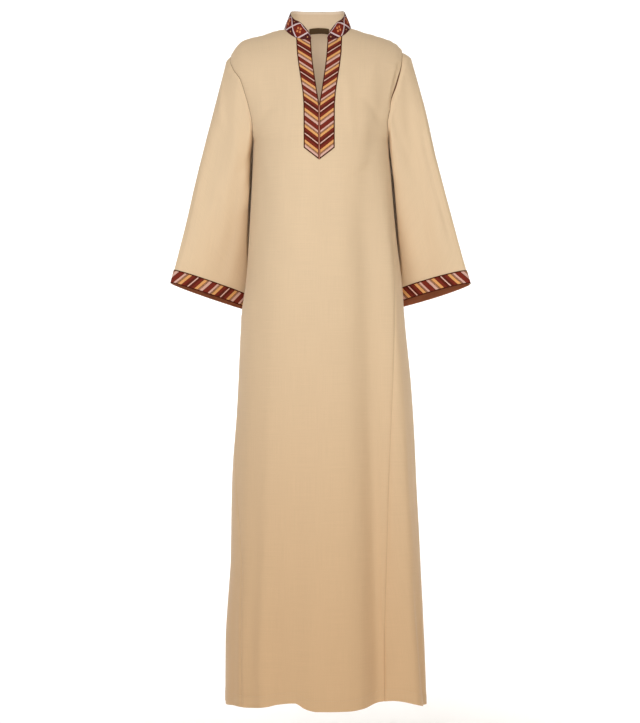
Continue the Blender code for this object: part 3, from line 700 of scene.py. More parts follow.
# Creases seen from the front or from behind, as lines from one place to another
DRAG = "x0 z0 x1 z1 width depth"
DRAGS = {
    "front": table(
        DRAG,
        (0.057, -0.1, 0.07, -0.24, 0.01, 0.0022), (0.15, -0.08, 0.098, -0.36, 0.02, -0.0072),
        (0.128, -0.03, 0.094, -0.16, 0.012, 0.0022), (0.172, -0.07, 0.153, -0.175, 0.005, -0.0065),
        (0.146, -0.215, 0.09, -0.15, 0.01, -0.002), (0.14, -0.235, 0.1, -0.33, 0.014, 0.0024),
        (-0.06, -0.095, -0.072, -0.235, 0.011, 0.0018),
        (-0.112, -0.06, -0.1, -0.19, 0.013, -0.0022),
        (-0.136, -0.215, -0.092, -0.165, 0.01, -0.0018),
        (-0.132, -0.24, -0.098, -0.34, 0.014, 0.0022), (-0.02, -0.3, -0.055, -0.52, 0.022, 0.0024),
        (0.02, -0.31, 0.035, -0.56, 0.024, -0.002),
    ),
    "back": table(
        DRAG,
        (0.145, -0.23, 0.08, -0.17, 0.012, -0.003), (0.142, -0.24, 0.07, -0.4, 0.018, 0.0032),
        (-0.136, -0.23, -0.075, -0.165, 0.012, -0.0028),
        (-0.134, -0.24, -0.065, -0.39, 0.018, 0.003), (0.03, -0.06, 0.036, -0.26, 0.016, 0.0022),
        (-0.034, -0.07, -0.028, -0.3, 0.018, -0.0024),
    ),
}


def drag_push(points, face):
    """How far the drags of one face move its points."""
    push = np.zeros(len(points))
    for drag in DRAGS[face]:
        start = np.array((drag.x0, drag.z0))
        run = np.array((drag.x1, drag.z1)) - start
        place = points[:, (0, 2)] - start
        along = place @ run / (run @ run)
        near = place - np.clip(along, 0, 1)[:, None] * run
        swell = np.sin(np.pi * np.clip(along, 0, 1)) ** DRAG_BLUNTNESS
        push += drag.depth * swell * bell(np.linalg.norm(near, axis=1), drag.width)
    return push


def angle_round(points):
    """The angle round the body of points on it."""
    half = np.where(points[:, 0] >= 0, HALF_WIDTH["right"](points[:, 2]), HALF_WIDTH["left"](points[:, 2]))
    cos = np.clip(np.abs(points[:, 0]) / half, 0, 1) ** (SECTION_POWER / 2)
    angle = np.degrees(np.arccos(cos))
    angle = np.where(points[:, 0] >= 0, angle, 180 - angle)
    return np.where(points[:, 1] <= 0, angle, 360 - angle) % 360.0


def wave_push(points, seed):
    """Faint waves, several times longer down the cloth than across it, with finer ones on them."""
    out = np.zeros(len(points))
    for n, (x, y, z) in enumerate(points):
        wave = Vector((x * WAVE_ACROSS + seed, y * WAVE_ACROSS, z * WAVE_DOWN))
        ripple = Vector((x * RIPPLE_ACROSS, y * RIPPLE_ACROSS + seed, z * RIPPLE_DOWN))
        out[n] = noise.noise(wave) + RIPPLE_SHARE * noise.noise(ripple)
    return out * WAVE


def runs_across(grid):
    """For each point of a grid, the way along its row from the row's start."""
    steps = np.linalg.norm(np.diff(grid, axis=1), axis=2)
    return np.pad(np.cumsum(steps, axis=1), ((0, 0), (1, 0)))


def along_line(line):
    """The way from a line's start to each of its points."""
    return runs_across(line[None])[0]


def on_line(runs, line, wanted):
    """Points of a line at wanted ways from its start."""
    return np.stack([np.interp(wanted, runs, line[:, k]) for k in range(3)], axis=-1)


def seam_push(points, seams, seed):
    """Seams sink in, and the cloth beside them puckers."""
    push = np.zeros(len(points))
    for n, seam in enumerate(seams):
        runs = along_line(seam)
        fine = np.arange(0.0, runs[-1], SEAM_STEP)
        line = on_line(runs, seam, fine)
        low = line.min(axis=0) - SEAM_SEARCH
        high = line.max(axis=0) + SEAM_SEARCH
        close = np.where(np.all((points > low) & (points < high), axis=1))[0]
        for first in range(0, len(close), POINTS_AT_ONCE):
            some = close[first:first + POINTS_AT_ONCE]
            gap = np.linalg.norm(points[some, None] - line[None], axis=2)
            away = gap.min(axis=1)
            run = fine[gap.argmin(axis=1)]
            drift = PUCKER_SWAY * np.sin(run * PUCKER_DRIFT + seed + n)
            wobble = np.sin(2 * np.pi * run / PUCKER_PITCH + drift)
            uneven = 1 - PUCKER_UNEVEN + PUCKER_UNEVEN * np.sin(run * PUCKER_CHANGE + n)
            rise = PUCKER * wobble * uneven
            rise = rise * bell(away, PUCKER_REACH) * fade(away, 0.0, PUCKER_FROM)
            push[some] += rise - SEAM_DEPTH * bell(away, SEAM_HALF)
    return push


print("drags:", {face: len(DRAGS[face]) for face in FACES})

# %% [markdown]
# Now the front and the back. The lower edge of each is turned up and stitched, so the last two and a half
# centimetres are double and stand a little proud. Rows crowd together there to carry that step and the line
# of stitches. More long folds are added here that the plain solid does not have, narrow and shallow,
# between the broad ones. Last, front and back are given the same points along their shoulder and side
# seams, because two sheets that are creased one by one would leave slits of light between them.

# %% Front and back
HEM_STITCH_AT = 0.0225
HEM_STITCH_HALF = 0.0012
HEM_STEP = 0.0006
HEM_STEP_FROM = 0.024
HEM_STEP_TO = 0.0262
HEM_GROOVE = 0.0005
HEM_ZONE = 0.042
HEM_ROWS = np.array([0, 0.0006, 0.0016, 0.004, 0.008, 0.013, 0.018, 0.0212, 0.0225, 0.0238, 0.0252, 0.0264,
                     0.029, 0.034])
SKIRT_LENGTH = 1.12
SKIRT_ROWS = 128
DOWNS = np.concatenate((np.linspace(0, 1 - HEM_ZONE / SKIRT_LENGTH, SKIRT_ROWS),
                        1 - HEM_ROWS[::-1] / SKIRT_LENGTH))
PANEL_SEED = {"front": 3.1, "back": 8.7}
# Places of the strip, the upper and the lower grid of each half in a panel's list of grids
STRIP_GRID = {"left": 0, "right": 3}
UPPER_GRID = {"left": 1, "right": 4}
LOWER_GRID = {"left": 2, "right": 5}
# The fine folds start between these two heights
FINE_FULL_Z = -0.36
FINE_FROM_Z = -0.30

FINE_FOLDS = table(
    FOLD,
    (99, -0.34, 101, -1.44, 0.02, -0.004), (122, -0.45, 124, -1.44, 0.018, 0.004),
    (134, -0.36, 133, -1.44, 0.02, -0.001), (152, -0.6, 154, -1.44, 0.016, -0.0015),
    (58, -0.36, 56, -1.44, 0.012, 0.0035), (32, -0.5, 33, -1.44, 0.018, 0.004),
    (12, -0.4, 10, -1.44, 0.018, -0.004), (190, -0.45, 188, -1.44, 0.016, 0.005),
    (219, -0.5, 217, -1.44, 0.014, -0.0045), (244, -0.4, 243, -1.44, 0.016, 0.004),
    (269, -0.45, 270, -1.44, 0.018, 0.005), (296, -0.42, 293, -1.44, 0.015, -0.0045),
    (322, -0.48, 320, -1.44, 0.016, 0.0045), (346, -0.55, 347, -1.44, 0.014, -0.004),
)


def panel_grids(face):
    """The grids of a panel, with each point's place on the flat cloth and height above the hem."""
    grids = []
    maps = []
    heights = []
    strips = STRIP_STEPS[face]
    for side in SIDES:
        strip, grid = upper_half(side, face)
        start = np.vstack((strip[0], grid[0, 1:]))
        shares = np.concatenate((STRIP_COLUMNS * strips, strips + COLUMNS[1:] * CROSS_STEPS))
        lower = lower_half(side, face, start, shares / (strips + CROSS_STEPS), DOWNS)
        above = ((1 - DOWNS) * SKIRT_LENGTH)[:, None]
        for patch, height in ((strip, 1.0), (grid, 1.0), (lower, above)):
            grids.append(patch)
            across = runs_across(patch) + np.abs(patch[:, :1, 0])
            maps.append(np.stack((HAND[side] * across, patch[..., 2]), axis=-1))
            heights.append(np.broadcast_to(height, patch.shape[:2]))
    return grids, maps, heights


def hem_push(heights):
    """The turned-up hem stands proud and its stitches sink in."""
    step = HEM_STEP * (1 - fade(heights, HEM_STEP_FROM, HEM_STEP_TO))
    return step - HEM_GROOVE * bell(heights - HEM_STITCH_AT, HEM_STITCH_HALF)


def make_panel(face):
    """The creased sheet of the front or the back."""
    grids, maps, heights = panel_grids(face)
    sheet = join_grids(grids, maps, from_axis)
    seams = []
    for grid, lower in (grids[1:3], grids[4:6]):
        seams += [lower[:, -1], grid[:, -1], grid[-1]]
    height = np.ones(len(sheet.points))
    for here, values in zip(sheet.ids, heights):
        height[here.reshape(-1)] = values.reshape(-1)
    z = sheet.points[:, 2]
    push = fold_push(angle_round(sheet.points), z, FINE_FOLDS) * (1 - fade(z, FINE_FULL_Z, FINE_FROM_Z))
    push = push + drag_push(sheet.points, face) + wave_push(sheet.points, PANEL_SEED[face])
    push = push + seam_push(sheet.points, seams, PANEL_SEED[face]) + hem_push(height)
    return pushed(sheet, push)


panels = {face: make_panel(face) for face in FACES}
for side in SIDES:
    for n, edge in ((UPPER_GRID[side], np.s_[-1, :]), (LOWER_GRID[side], np.s_[:, -1])):
        rows = [panels[face].ids[n][edge] for face in FACES]
        middle = sum(panels[face].points[row] for face, row in zip(FACES, rows)) / 2
        for face, row in zip(FACES, rows):
            panels[face].points[row] = middle
for face in FACES:
    panels[face] = moved(panels[face], panels[face].points)
    print(face, len(panels[face].points), "points")

# %% [markdown]
# A sleeve is a tube that starts on the very points of the armhole and ends in the open cuff. Straight lines
# from one to the other give the plain tube. A set-in sleeve stands out a little over the seam at its head,
# and a hanging arm leaves drags at the underarm and soft bends at the elbow. The inside of the sleeve keeps
# clear of the body.

# %% Sleeves
SLEEVE_CLEARANCE = 0.005
CLEARANCE_EASE = 0.020
SLEEVE_HEAD_EASE = 0.03
SLEEVE_SEED = {"left": 14.2, "right": 21.9}
CUFF_HALF_DEPTH = 0.047
CUFF_RIBBON = 0.0295
SLEEVE_SHARES = ([0.0, 0.003, 0.007, 0.012, 0.020, 0.030] + list(np.linspace(0.042, 0.978, 84))
                 + [0.989, 0.996])
RIBBON_SHARES = np.array((0, 0.05, 0.1, 0.2, 0.35, 0.5, 0.65, 0.8, 0.9, 0.95, 1))
CREASE_HOLD = 0.4

# The outer and the inner end of each cuff, x counted from the middle, and how far its back hangs lower
Cuff = namedtuple("Cuff", "outer inner back_drop")
CUFF = {
    "left": Cuff(np.array((0.3140, -0.012, -0.5424)), np.array((0.1360, 0.086, -0.5990)), 0.24),
    "right": Cuff(np.array((0.3190, -0.012, -0.5448)), np.array((0.1380, 0.089, -0.5925)), 0.285),
}
# Degrees round the sleeve from its outer edge over the front, ends along it from 0 to 1, turn on the way
CREASE = "around head foot width depth slant"
SLEEVE_FOLDS = {
    "left": table(
        CREASE,
        (0, -0.95, 0.95, 45, 0.0055, 0), (62, 0.02, 0.75, 14, -0.005, 0),
        (95, 0.05, 0.9, 15, 0.0035, 0), (128, 0.1, 1.02, 24, 0.006, 0),
        (165, 0.0, 0.35, 22, -0.006, 0), (235, 0.1, 1.0, 16, -0.006, 0),
        (290, 0.15, 1.0, 18, 0.005, 0), (40, 0.01, 0.3, 9, 0.0022, 25),
        (125, 0.03, 0.42, 9, -0.0026, -30), (150, 0.05, 0.55, 10, 0.0028, -35),
        (78, 0.4, 0.98, 10, 0.002, 10), (112, 0.5, 1.0, 9, -0.002, -6),
        (30, 0.45, 1.0, 9, -0.002, 4), (205, 0.04, 0.45, 10, 0.003, 25),
        (262, 0.25, 0.85, 9, 0.0024, -8), (320, 0.2, 0.9, 10, -0.0026, 6),
    ),
    "right": table(
        CREASE,
        (0, -0.5, 0.5, 45, 0.008, 0), (0, -0.95, 0.95, 45, 0.0055, 0),
        (118, 0.02, 1.02, 22, 0.0085, -8), (72, 0.03, 0.7, 20, -0.006, 0),
        (72, 0.55, 1.0, 16, 0.0035, 0), (45, 0.2, 0.95, 12, -0.005, 0),
        (245, 0.08, 1.0, 16, -0.006, 0), (295, 0.2, 1.0, 18, 0.005, 0),
        (95, 0.02, 0.45, 9, -0.0026, -12), (140, 0.04, 0.5, 10, -0.0028, -34),
        (160, 0.06, 0.6, 10, 0.0026, -30), (92, 0.55, 1.0, 10, -0.0022, 5),
        (25, 0.05, 0.5, 9, 0.0022, 14), (210, 0.04, 0.42, 10, 0.003, 24),
        (268, 0.25, 0.9, 9, 0.0024, -7), (325, 0.18, 0.85, 10, -0.0026, 5),
    ),
}


def cuff_loop(side, turns):
    """The sleeve's end: a flat oval from its outer edge round the front to its inner edge."""
    outer, inner, back_drop = CUFF[side]
    half = (outer - inner) / 2
    across = np.array((-half[1], -half[0], 0.0)) / math.hypot(half[0], half[1])
    across = np.array((abs(across[0]), -abs(across[1]), back_drop)) * CUFF_HALF_DEPTH
    return (outer + inner) / 2 + np.cos(turns)[:, None] * half + np.sin(turns)[:, None] * across


def clear_of_body(points, side):
    """Move sleeve points out of the body that the sleeve hangs against; x counts from the middle."""
    z = points[:, 2]
    room = SLEEVE_CLEARANCE * (1 - np.exp(np.minimum(0.0, z - UNDERARM_Z) / CLEARANCE_EASE))
    depth = np.where(points[:, 1] < 0, DEPTH["front"](z), DEPTH["back"](z))
    across = np.abs(points[:, 0]) / (HALF_WIDTH[side](z) + room)
    through = np.abs(points[:, 1]) / (depth + room)
    size = (across ** SECTION_POWER + through ** SECTION_POWER) ** (1 / SECTION_POWER)
    inside = (z < UNDERARM_Z) & (size < 1)
    scale = np.where(inside, 1 / np.maximum(size, TINY), 1.0)
    return points * np.stack((scale, scale, np.ones_like(scale)), axis=1)


def crease_push(side, around, along):
    """How far the creases of a sleeve stand out round one ring of it."""
    push = np.zeros_like(around)
    for crease in SLEEVE_FOLDS[side]:
        middle = (crease.head + crease.foot) / 2
        reach = (crease.foot - crease.head) / 2
        turned = crease.around + crease.slant * (along - middle) / reach
        off = short_turn(around - turned)
        hold = 1 - fade(np.abs(along - middle), reach * CREASE_HOLD, reach)
        push += crease.depth * bell(off, crease.width) * hold
    return push


def sleeve_rings(side):
    """Rings from the armhole to the cuff, and the place of each point on the flat sleeve."""
    front, back = [upper_half(side, face)[1][:, -1] for face in FACES]
    head = np.vstack((front[::-1], back[1:]))
    head[:, 0] = np.abs(head[:, 0])
    turns = np.pi * np.concatenate((1 - UPPER_PARTS[::-1], 1 + UPPER_PARTS[1:]))
    foot = cuff_loop(side, turns)
    lengths = np.linalg.norm(foot - head, axis=1)
    ribbon_at = 1 - CUFF_RIBBON / lengths
    steps = [ribbon_at * share for share in SLEEVE_SHARES]
    steps += [ribbon_at + (1 - ribbon_at) * share for share in RIBBON_SHARES]
    rings = [head * (HAND[side], 1, 1)]
    for step in steps[1:]:
        ring = head + (foot - head) * step[:, None]
        flat = (ring - ring.mean(axis=0)) * (1.0, 1.0, 0.0)
        push = crease_push(side, np.degrees(turns), step) * fade(step, 0.0, SLEEVE_HEAD_EASE)
        bent = ring + unit(flat, CLOTH) * push[:, None]
        rings.append(clear_of_body(bent, side) * (HAND[side], 1, 1))
    rings = np.array(rings)
    rings[:, -1] = rings[:, 0]
    down = np.array(steps) * lengths
    return rings, np.stack((HAND[side] * runs_across(rings), -down), axis=-1)


def make_sleeve(side):
    """The creased sheet of one sleeve, sewn to the armhole's own points."""
    rings, ring_map = sleeve_rings(side)
    centres = rings[:, :-1].mean(axis=1)
    axis = np.polyfit(centres[:, 2], centres[:, :2], 1)

    def from_sleeve(points):
        """Directions away from the sleeve's middle line."""
        middle = points[:, 2:] * axis[0] + axis[1]
        return np.concatenate((points[:, :2] - middle, np.zeros((len(points), 1))), axis=1)

    sheet = join_grids([rings], [ring_map], from_sleeve)
    push = wave_push(sheet.points, SLEEVE_SEED[side]) * fade(-sheet.maps[:, 1], 0.0, SLEEVE_HEAD_EASE)
    sheet = pushed(sheet, push + seam_push(sheet.points, [rings[0]], SLEEVE_SEED[side]))
    edges = [panels[face].points[panels[face].ids[UPPER_GRID[side]][:, -1]] for face in FACES]
    sheet.points[sheet.ids[0][0]] = np.vstack((edges[0][::-1], edges[1][1:]))
    print("sleeve", side, rings.shape)
    return moved(sheet, sheet.points)


sleeves = {side: make_sleeve(side) for side in SIDES}
sleeve_ids = {side: sleeves[side].ids[0] for side in SIDES}
cuff_ids = {side: sleeve_ids[side][len(SLEEVE_SHARES):] for side in SIDES}

# %% [markdown]
# The collar stands up from the neckline in one band that is open in front, where its corners are rounded.
# It is lower at the throat and rises to the nape. Its foot follows the neckline and its top edge is drawn
# from its own short table, because a real collar is cut to its own curve and does not copy the neckline.
# The band bows out a little in the middle, as two layers of cloth and a ribbon do.

# %% Collar
COLLAR_LEAN = 0.0135
COLLAR_END_ROUND = 0.045
COLLAR_END_HEIGHT = 0.004
COLLAR_BOW = 0.0010
COLLAR_SEAM_GAP = 0.0004
COLLAR_COLUMNS = 220
COLLAR_CROWDING = 0.35
COLLAR_SEED = 30.4
COLLAR_WAVE = 0.5
COLLAR_WAVE_FROM = 0.01
COLLAR_ROWS = np.array([-0.045, 0, 0.03, 0.07, 0.13, 0.2, 0.3, 0.4, 0.5, 0.6, 0.7, 0.8, 0.87, 0.93,
                        0.97, 1])
FOOT_POINTS = 120
# Height of the collar's top edge, by how far back its foot is
COLLAR_TOP = table(
    "back z",
    (-0.072, -0.006), (-0.066, 0.0042), (-0.0585, 0.0111), (-0.047, 0.0167), (-0.035, 0.0236),
    (-0.02, 0.0295), (0.0, 0.0375), (0.02, 0.044), (0.04, 0.048), (0.056, 0.0486),
)
COLLAR_TOP_Z = smooth_table(COLLAR_TOP, "back", "z")


def collar_foot():
    """The neckline from the left front corner round the back to the right front corner, evenly fine."""
    shares = np.linspace(0, 1, FOOT_POINTS)
    line = []
    for side in SIDES:
        start = neck_turn(side, PLACKET_TOP_INNER)
        line.append(np.vstack((neck_point(side, "front", start + (90 - start) * shares),
                               neck_point(side, "back", 90 * (1 - shares))[1:])))
    return np.vstack((line[0], line[1][::-1][1:]))


def collar_grids():
    """The collar's points, and for each its way from the nearer front corner and its height."""
    foot = collar_foot()
    runs = along_line(foot)
    spread = np.linspace(0, np.pi, COLLAR_COLUMNS + 1)
    crowded = COLLAR_CROWDING * (1 - np.cos(spread)) / 2
    wanted = runs[-1] * (crowded + (1 - COLLAR_CROWDING) * spread / np.pi)
    base = on_line(runs, foot, wanted)
    base[:, 2] += COLLAR_SEAM_GAP
    middle = np.array((0.0, (NECK_DEPTH["back"] - NECK_DEPTH["front"]) / 2))
    from_end = np.minimum(wanted, wanted[-1] - wanted)
    short = 1 - np.minimum(1.0, from_end / COLLAR_END_ROUND)
    full = COLLAR_TOP_Z(base[:, 1]) - base[:, 2]
    tall = np.maximum(COLLAR_END_HEIGHT, full * np.sqrt(1 - short * short))
    inward = unit(middle - base[:, :2])
    rise = COLLAR_ROWS[:, None]
    lean = (COLLAR_LEAN * rise - COLLAR_BOW * 4 * rise * (1 - rise)) * (tall / full)
    flat = base[None, :, :2] + inward[None] * lean[..., None]
    grid = np.concatenate((flat, (base[:, 2] + tall * rise)[..., None]), axis=-1)
    near = np.broadcast_to(from_end, lean.shape)
    return grid, np.stack((near, tall * rise), axis=-1)


collar_grid, collar_map = collar_grids()
collar = join_grids([collar_grid], [collar_map], from_axis)
collar_wave = wave_push(collar.points, COLLAR_SEED) * COLLAR_WAVE
collar = pushed(collar, collar_wave * fade(collar.maps[:, 1], 0.0, COLLAR_WAVE_FROM))
print("collar:", collar_grid.shape)

# %% [markdown]
# Materials are small graphs of nodes. To keep them readable, a wire stands for a value that flows through
# the graph, and a sum written with wires adds the Math nodes by itself. Each finish below is then a few
# plain lines. All patterns are drawn from the map of the flat cloth, which holds metres, so a thread stays
# a thread on every piece and follows the cloth round every fold.

# %% Helpers for materials
SHEEN_ROUGHNESS = 0.5
# Places of the share and the two colours among a Mix node's inputs, and of the colour it gives
MIX_INPUTS = (0, 6, 7)
MIX_OUTPUT = 2
# The curve from the steps of a colour to the light they stand for
LINEAR_TO = 0.04045
LINEAR_SLOPE = 12.92
CURVE_OFFSET = 0.055
CURVE_POWER = 2.4


class Wire:
    """A value that flows through a material. Each sum, product or test on it adds a Math node."""

    def __init__(self, socket):
        self.socket = socket
        self.tree = socket.id_data

    def math(self, operation, *others):
        """The result of one Math node."""
        return wires(self.tree, "Math", self, *others, operation=operation)[0]

    __add__ = partialmethod(math, "ADD")
    __sub__ = partialmethod(math, "SUBTRACT")
    __mul__ = partialmethod(math, "MULTIPLY")
    __truediv__ = partialmethod(math, "DIVIDE")
    __abs__ = partialmethod(math, "ABSOLUTE")
    __lt__ = partialmethod(math, "LESS_THAN")
    __gt__ = partialmethod(math, "GREATER_THAN")
    either = partialmethod(math, "MAXIMUM")
    sine = partialmethod(math, "SINE")
    fraction = partialmethod(math, "FRACT")


def feed(value, socket):
    """Link a wire, or set a plain number or colour."""
    if isinstance(value, Wire):
        socket.id_data.links.new(value.socket, socket)
    else:
        socket.default_value = value


def wires(tree, kind, *inputs, **settings):
    """Outputs of a new node; settings are its properties or inputs by name, inputs the rest in order."""
    made = tree.nodes.new("ShaderNode" + kind)
    for name, value in settings.items():
        if hasattr(made, name):
            setattr(made, name, value)
        else:
            feed(value, made.inputs[name.replace("_", " ")])
    for socket, value in zip(made.inputs, inputs):
        feed(value, socket)
    return [Wire(socket) for socket in made.outputs]


def mix(share, first, second):
    """The second colour laid over the first by a share."""
    made = share.tree.nodes.new("ShaderNodeMix")
    made.data_type = "RGBA"
    for at, value in zip(MIX_INPUTS, (share, first, second)):
        feed(value, made.inputs[at])
    return Wire(made.outputs[MIX_OUTPUT])


def dimmed(colour, light):
    """A colour times a number."""
    return wires(colour.tree, "VectorMath", colour, operation="SCALE", Scale=light)[0]


def rgb(red, green, blue):
    """A colour given in steps of 0 to 255, as a shader wants it."""
    parts = []
    for step in (red, green, blue):
        share = step / 255
        curved = ((share + CURVE_OFFSET) / (1 + CURVE_OFFSET)) ** CURVE_POWER
        parts.append(share / LINEAR_SLOPE if share <= LINEAR_TO else curved)
    return (*parts, 1.0)


def new_material(name, roughness, sheen=0.0, gloss=0.25):
    """A material, its shader, the place on the flat cloth, and that place as two numbers in metres."""
    material = bpy.data.materials.new(name)
    material.use_nodes = True
    shader = material.node_tree.nodes["Principled BSDF"]
    for key, value in (("Roughness", roughness), ("Specular IOR Level", gloss), ("Sheen Weight", sheen),
                       ("Sheen Roughness", SHEEN_ROUGHNESS)):
        shader.inputs[key].default_value = value
    place = wires(material.node_tree, "UVMap", uv_map="cloth_map")[0]
    parts = wires(place.tree, "SeparateXYZ", place)
    return material, shader, place, parts[0], parts[1]


def noise_over(place, stretch, scale, detail=2.0):
    """Smooth noise over a place that is stretched differently along its two ways."""
    scaled = wires(place.tree, "VectorMath", place, (*stretch, 1.0), operation="MULTIPLY")[0]
    return wires(place.tree, "TexNoise", Vector=scaled, Scale=scale, Detail=detail)[0]


def ripple(along, pitch):
    """A sine wave with a given pitch in metres."""
    return (along * (2 * math.pi / pitch)).sine()


def finish(shader, colour, height, distance, strength):
    """Connect a colour, and a bump from a height between 0 and 1."""
    feed(colour, shader.inputs["Base Color"])
    bump = wires(height.tree, "Bump", Height=height, Strength=strength, Distance=distance)[0]
    feed(bump, shader.inputs["Normal"])


print("helpers for materials ready")

# %% [markdown]
# The main cloth is a plain weave of undyed sand-coloured yarn, matt, with slightly thicker yarns here and
# there. A plain weave is two sets of threads that pass over and under each other, which two sine waves
# multiplied together show well. The thicker yarns are noise stretched a hundredfold along one thread
# direction. The colour drifts a little over a hand's breadth, as natural yarn does. Down the skirt the
# colour grows deeper, which is painted shade where the light falls off towards the hem. Inside the fold of
# an armhole seam hardly any light arrives: a number kept at each point of the cloth says how deep in that
# fold it lies, and there the colour is darkened by painted shade.

# %% Sand cloth
THREAD_PITCH = 0.00075
WEAVE_BUMP = 0.00012
WEAVE_STRENGTH = 0.55
WEAVE_SHARE = 0.25
# Heights between which the colour deepens down the skirt: painted shade where the light falls off
PAINTED_SHADE_FROM = -0.35
PAINTED_SHADE_TO = -1.50
DRIFT_STRETCH = (1.0, 0.6)
DRIFT_SCALE = 9.0
SLUB_FINE = 900.0
SLUB_LONG = 14.0
SLUB_LIGHT = 0.10
SLUB_HEIGHT = 0.6
SAND_SHEEN = 0.12
SAND_ROUGHNESS = 0.86
SAND_WARM = rgb(226, 199, 163)
SAND_COOL = rgb(220, 194, 160)
# A deeper sand colour mixed in down the skirt, as painted shade
SAND_PAINTED_SHADE = rgb(208, 172, 131)
# Painted shade laid into the cloth's colour in the seams' folds, with how strongly and how softly it is
# laid
PAINTED_SEAM_SHADE = rgb(84, 38, 10)
SEAM_STRENGTH = 0.95
SEAM_SOFT = 0.7


def seam_shade(colour):
    """The colour, darkened by painted shade inside the seams' folds."""
    near = wires(colour.tree, "Attribute", attribute_name="seam_near")[2]
    share = wires(colour.tree, "MapRange", near, interpolation_type="SMOOTHSTEP", From_Max=SEAM_SOFT,
                  To_Max=SEAM_STRENGTH)[0]
    return mix(share, colour, PAINTED_SEAM_SHADE)


def sand_cloth(name, warm, cool):
    """Plain weave with slubs, with painted shade that deepens down the skirt."""
    material, shader, place, across, down = new_material(name, SAND_ROUGHNESS, SAND_SHEEN)
    drift = noise_over(place, DRIFT_STRETCH, DRIFT_SCALE)
    slubs = noise_over(place, (SLUB_FINE, SLUB_LONG), 1.0) + noise_over(place, (SLUB_LONG, SLUB_FINE), 1.0)
    lower = wires(place.tree, "MapRange", down, interpolation_type="SMOOTHSTEP", From_Min=PAINTED_SHADE_FROM,
                  From_Max=PAINTED_SHADE_TO)[0]
    # Painted shade: the colour deepens towards the hem, where the light falls off
    colour = mix(lower, mix(drift, warm, cool), SAND_PAINTED_SHADE)
    colour = dimmed(colour, slubs * SLUB_LIGHT + (1 - SLUB_LIGHT))
    weave = ripple(across, THREAD_PITCH) * ripple(down, THREAD_PITCH) * WEAVE_SHARE + 0.5
    finish(shader, seam_shade(colour), weave + slubs * SLUB_HEIGHT, WEAVE_BUMP, WEAVE_STRENGTH)
    return material


cloth_outside = sand_cloth("sand_cloth", SAND_WARM, SAND_COOL)
print("sand cloth thread pitch:", THREAD_PITCH)

# %% [markdown]
# The ribbon is a narrow woven band with slanting stripes that repeat every seven centimetres. A colour ramp
# with hard steps is the simplest way to draw such a repeat: the position along the band, plus a share of
# the position across it, is divided by the repeat, and its fraction picks the colour. One row of dots runs
# inside each pale stripe. Fine ribs across the band stand for its raised threads.

# %% Striped ribbon
RIB_PITCH = 0.0011
CROSS_PITCH = 0.00077
RIB_HEIGHT = 0.3
CROSS_HEIGHT = 0.15
RIBBON_BUMP = 0.00025
RIBBON_STRENGTH = 0.6
RIBBON_ROUGHNESS = 0.8
RIBBON_GLOSS = 0.08
FLECK_STRETCH = (600.0, 1100.0)
FLECK_LOW = 0.3
FLECK_HIGH = 0.7
FLECK_LIGHT = 1.06
STRIPE_FLECK_DARK = 0.82
DOT_PITCH = 0.0024
DOT_SHARE = 0.5
MAROON_DEEP = rgb(95, 36, 24)
MAROON_RED = rgb(125, 45, 33)
ORANGE = rgb(230, 168, 104)
PALE = rgb(222, 178, 162)
PALE_DOT = rgb(208, 156, 120)
PALE_LINE = rgb(236, 196, 180)
EDGE_BROWN = rgb(76, 28, 16)
JOIN_BROWN = rgb(190, 126, 104)
JOIN_HALF = 0.0010
BORDER = 0.0024
FAR_OFF = 9.0

# Where each stripe ends, as a share of one repeat that starts in the middle of the pale line
STRIPES = table(
    "end colour",
    (0.016, PALE_LINE), (0.1, MAROON_DEEP), (0.184, MAROON_RED), (0.194, EDGE_BROWN),
    (0.288, ORANGE), (0.298, EDGE_BROWN), (0.34, PALE_DOT), (0.35, EDGE_BROWN), (0.436, PALE),
    (0.45, EDGE_BROWN), (0.59, MAROON_RED), (0.6, EDGE_BROWN), (0.664, PALE), (0.674, EDGE_BROWN),
    (0.71, PALE_DOT), (0.72, EDGE_BROWN), (0.812, ORANGE), (0.822, EDGE_BROWN), (0.9, MAROON_RED),
    (0.984, MAROON_DEEP), (1.0, PALE_LINE),
)
DOT_ROWS = ((0.298, 0.340), (0.674, 0.710))


def stripe_ramp(phase):
    """The stripes' colours, by hard steps along one repeat."""
    ramp = phase.tree.nodes.new("ShaderNodeValToRGB")
    bands = ramp.color_ramp
    bands.interpolation = "CONSTANT"
    bands.elements[0].position = 0.0
    bands.elements[0].color = STRIPES[0].colour
    bands.elements.remove(bands.elements[1])
    for before, band in zip(STRIPES[:-1], STRIPES[1:]):
        bands.elements.new(before.end).color = band.colour
    feed(phase, ramp.inputs[0])
    return Wire(ramp.outputs[0])


def inside(value, low, high):
    """1 where a value lies between two others."""
    return (value > low) * (value < high)


def flecked(place, colour, dark):
    """The colour, a little darker and lighter from thread to thread."""
    fleck = noise_over(place, FLECK_STRETCH, 1.0)
    light = wires(place.tree, "MapRange", fleck, From_Min=FLECK_LOW, From_Max=FLECK_HIGH,
                  To_Min=dark, To_Max=FLECK_LIGHT)[0]
    return dimmed(colour, light)


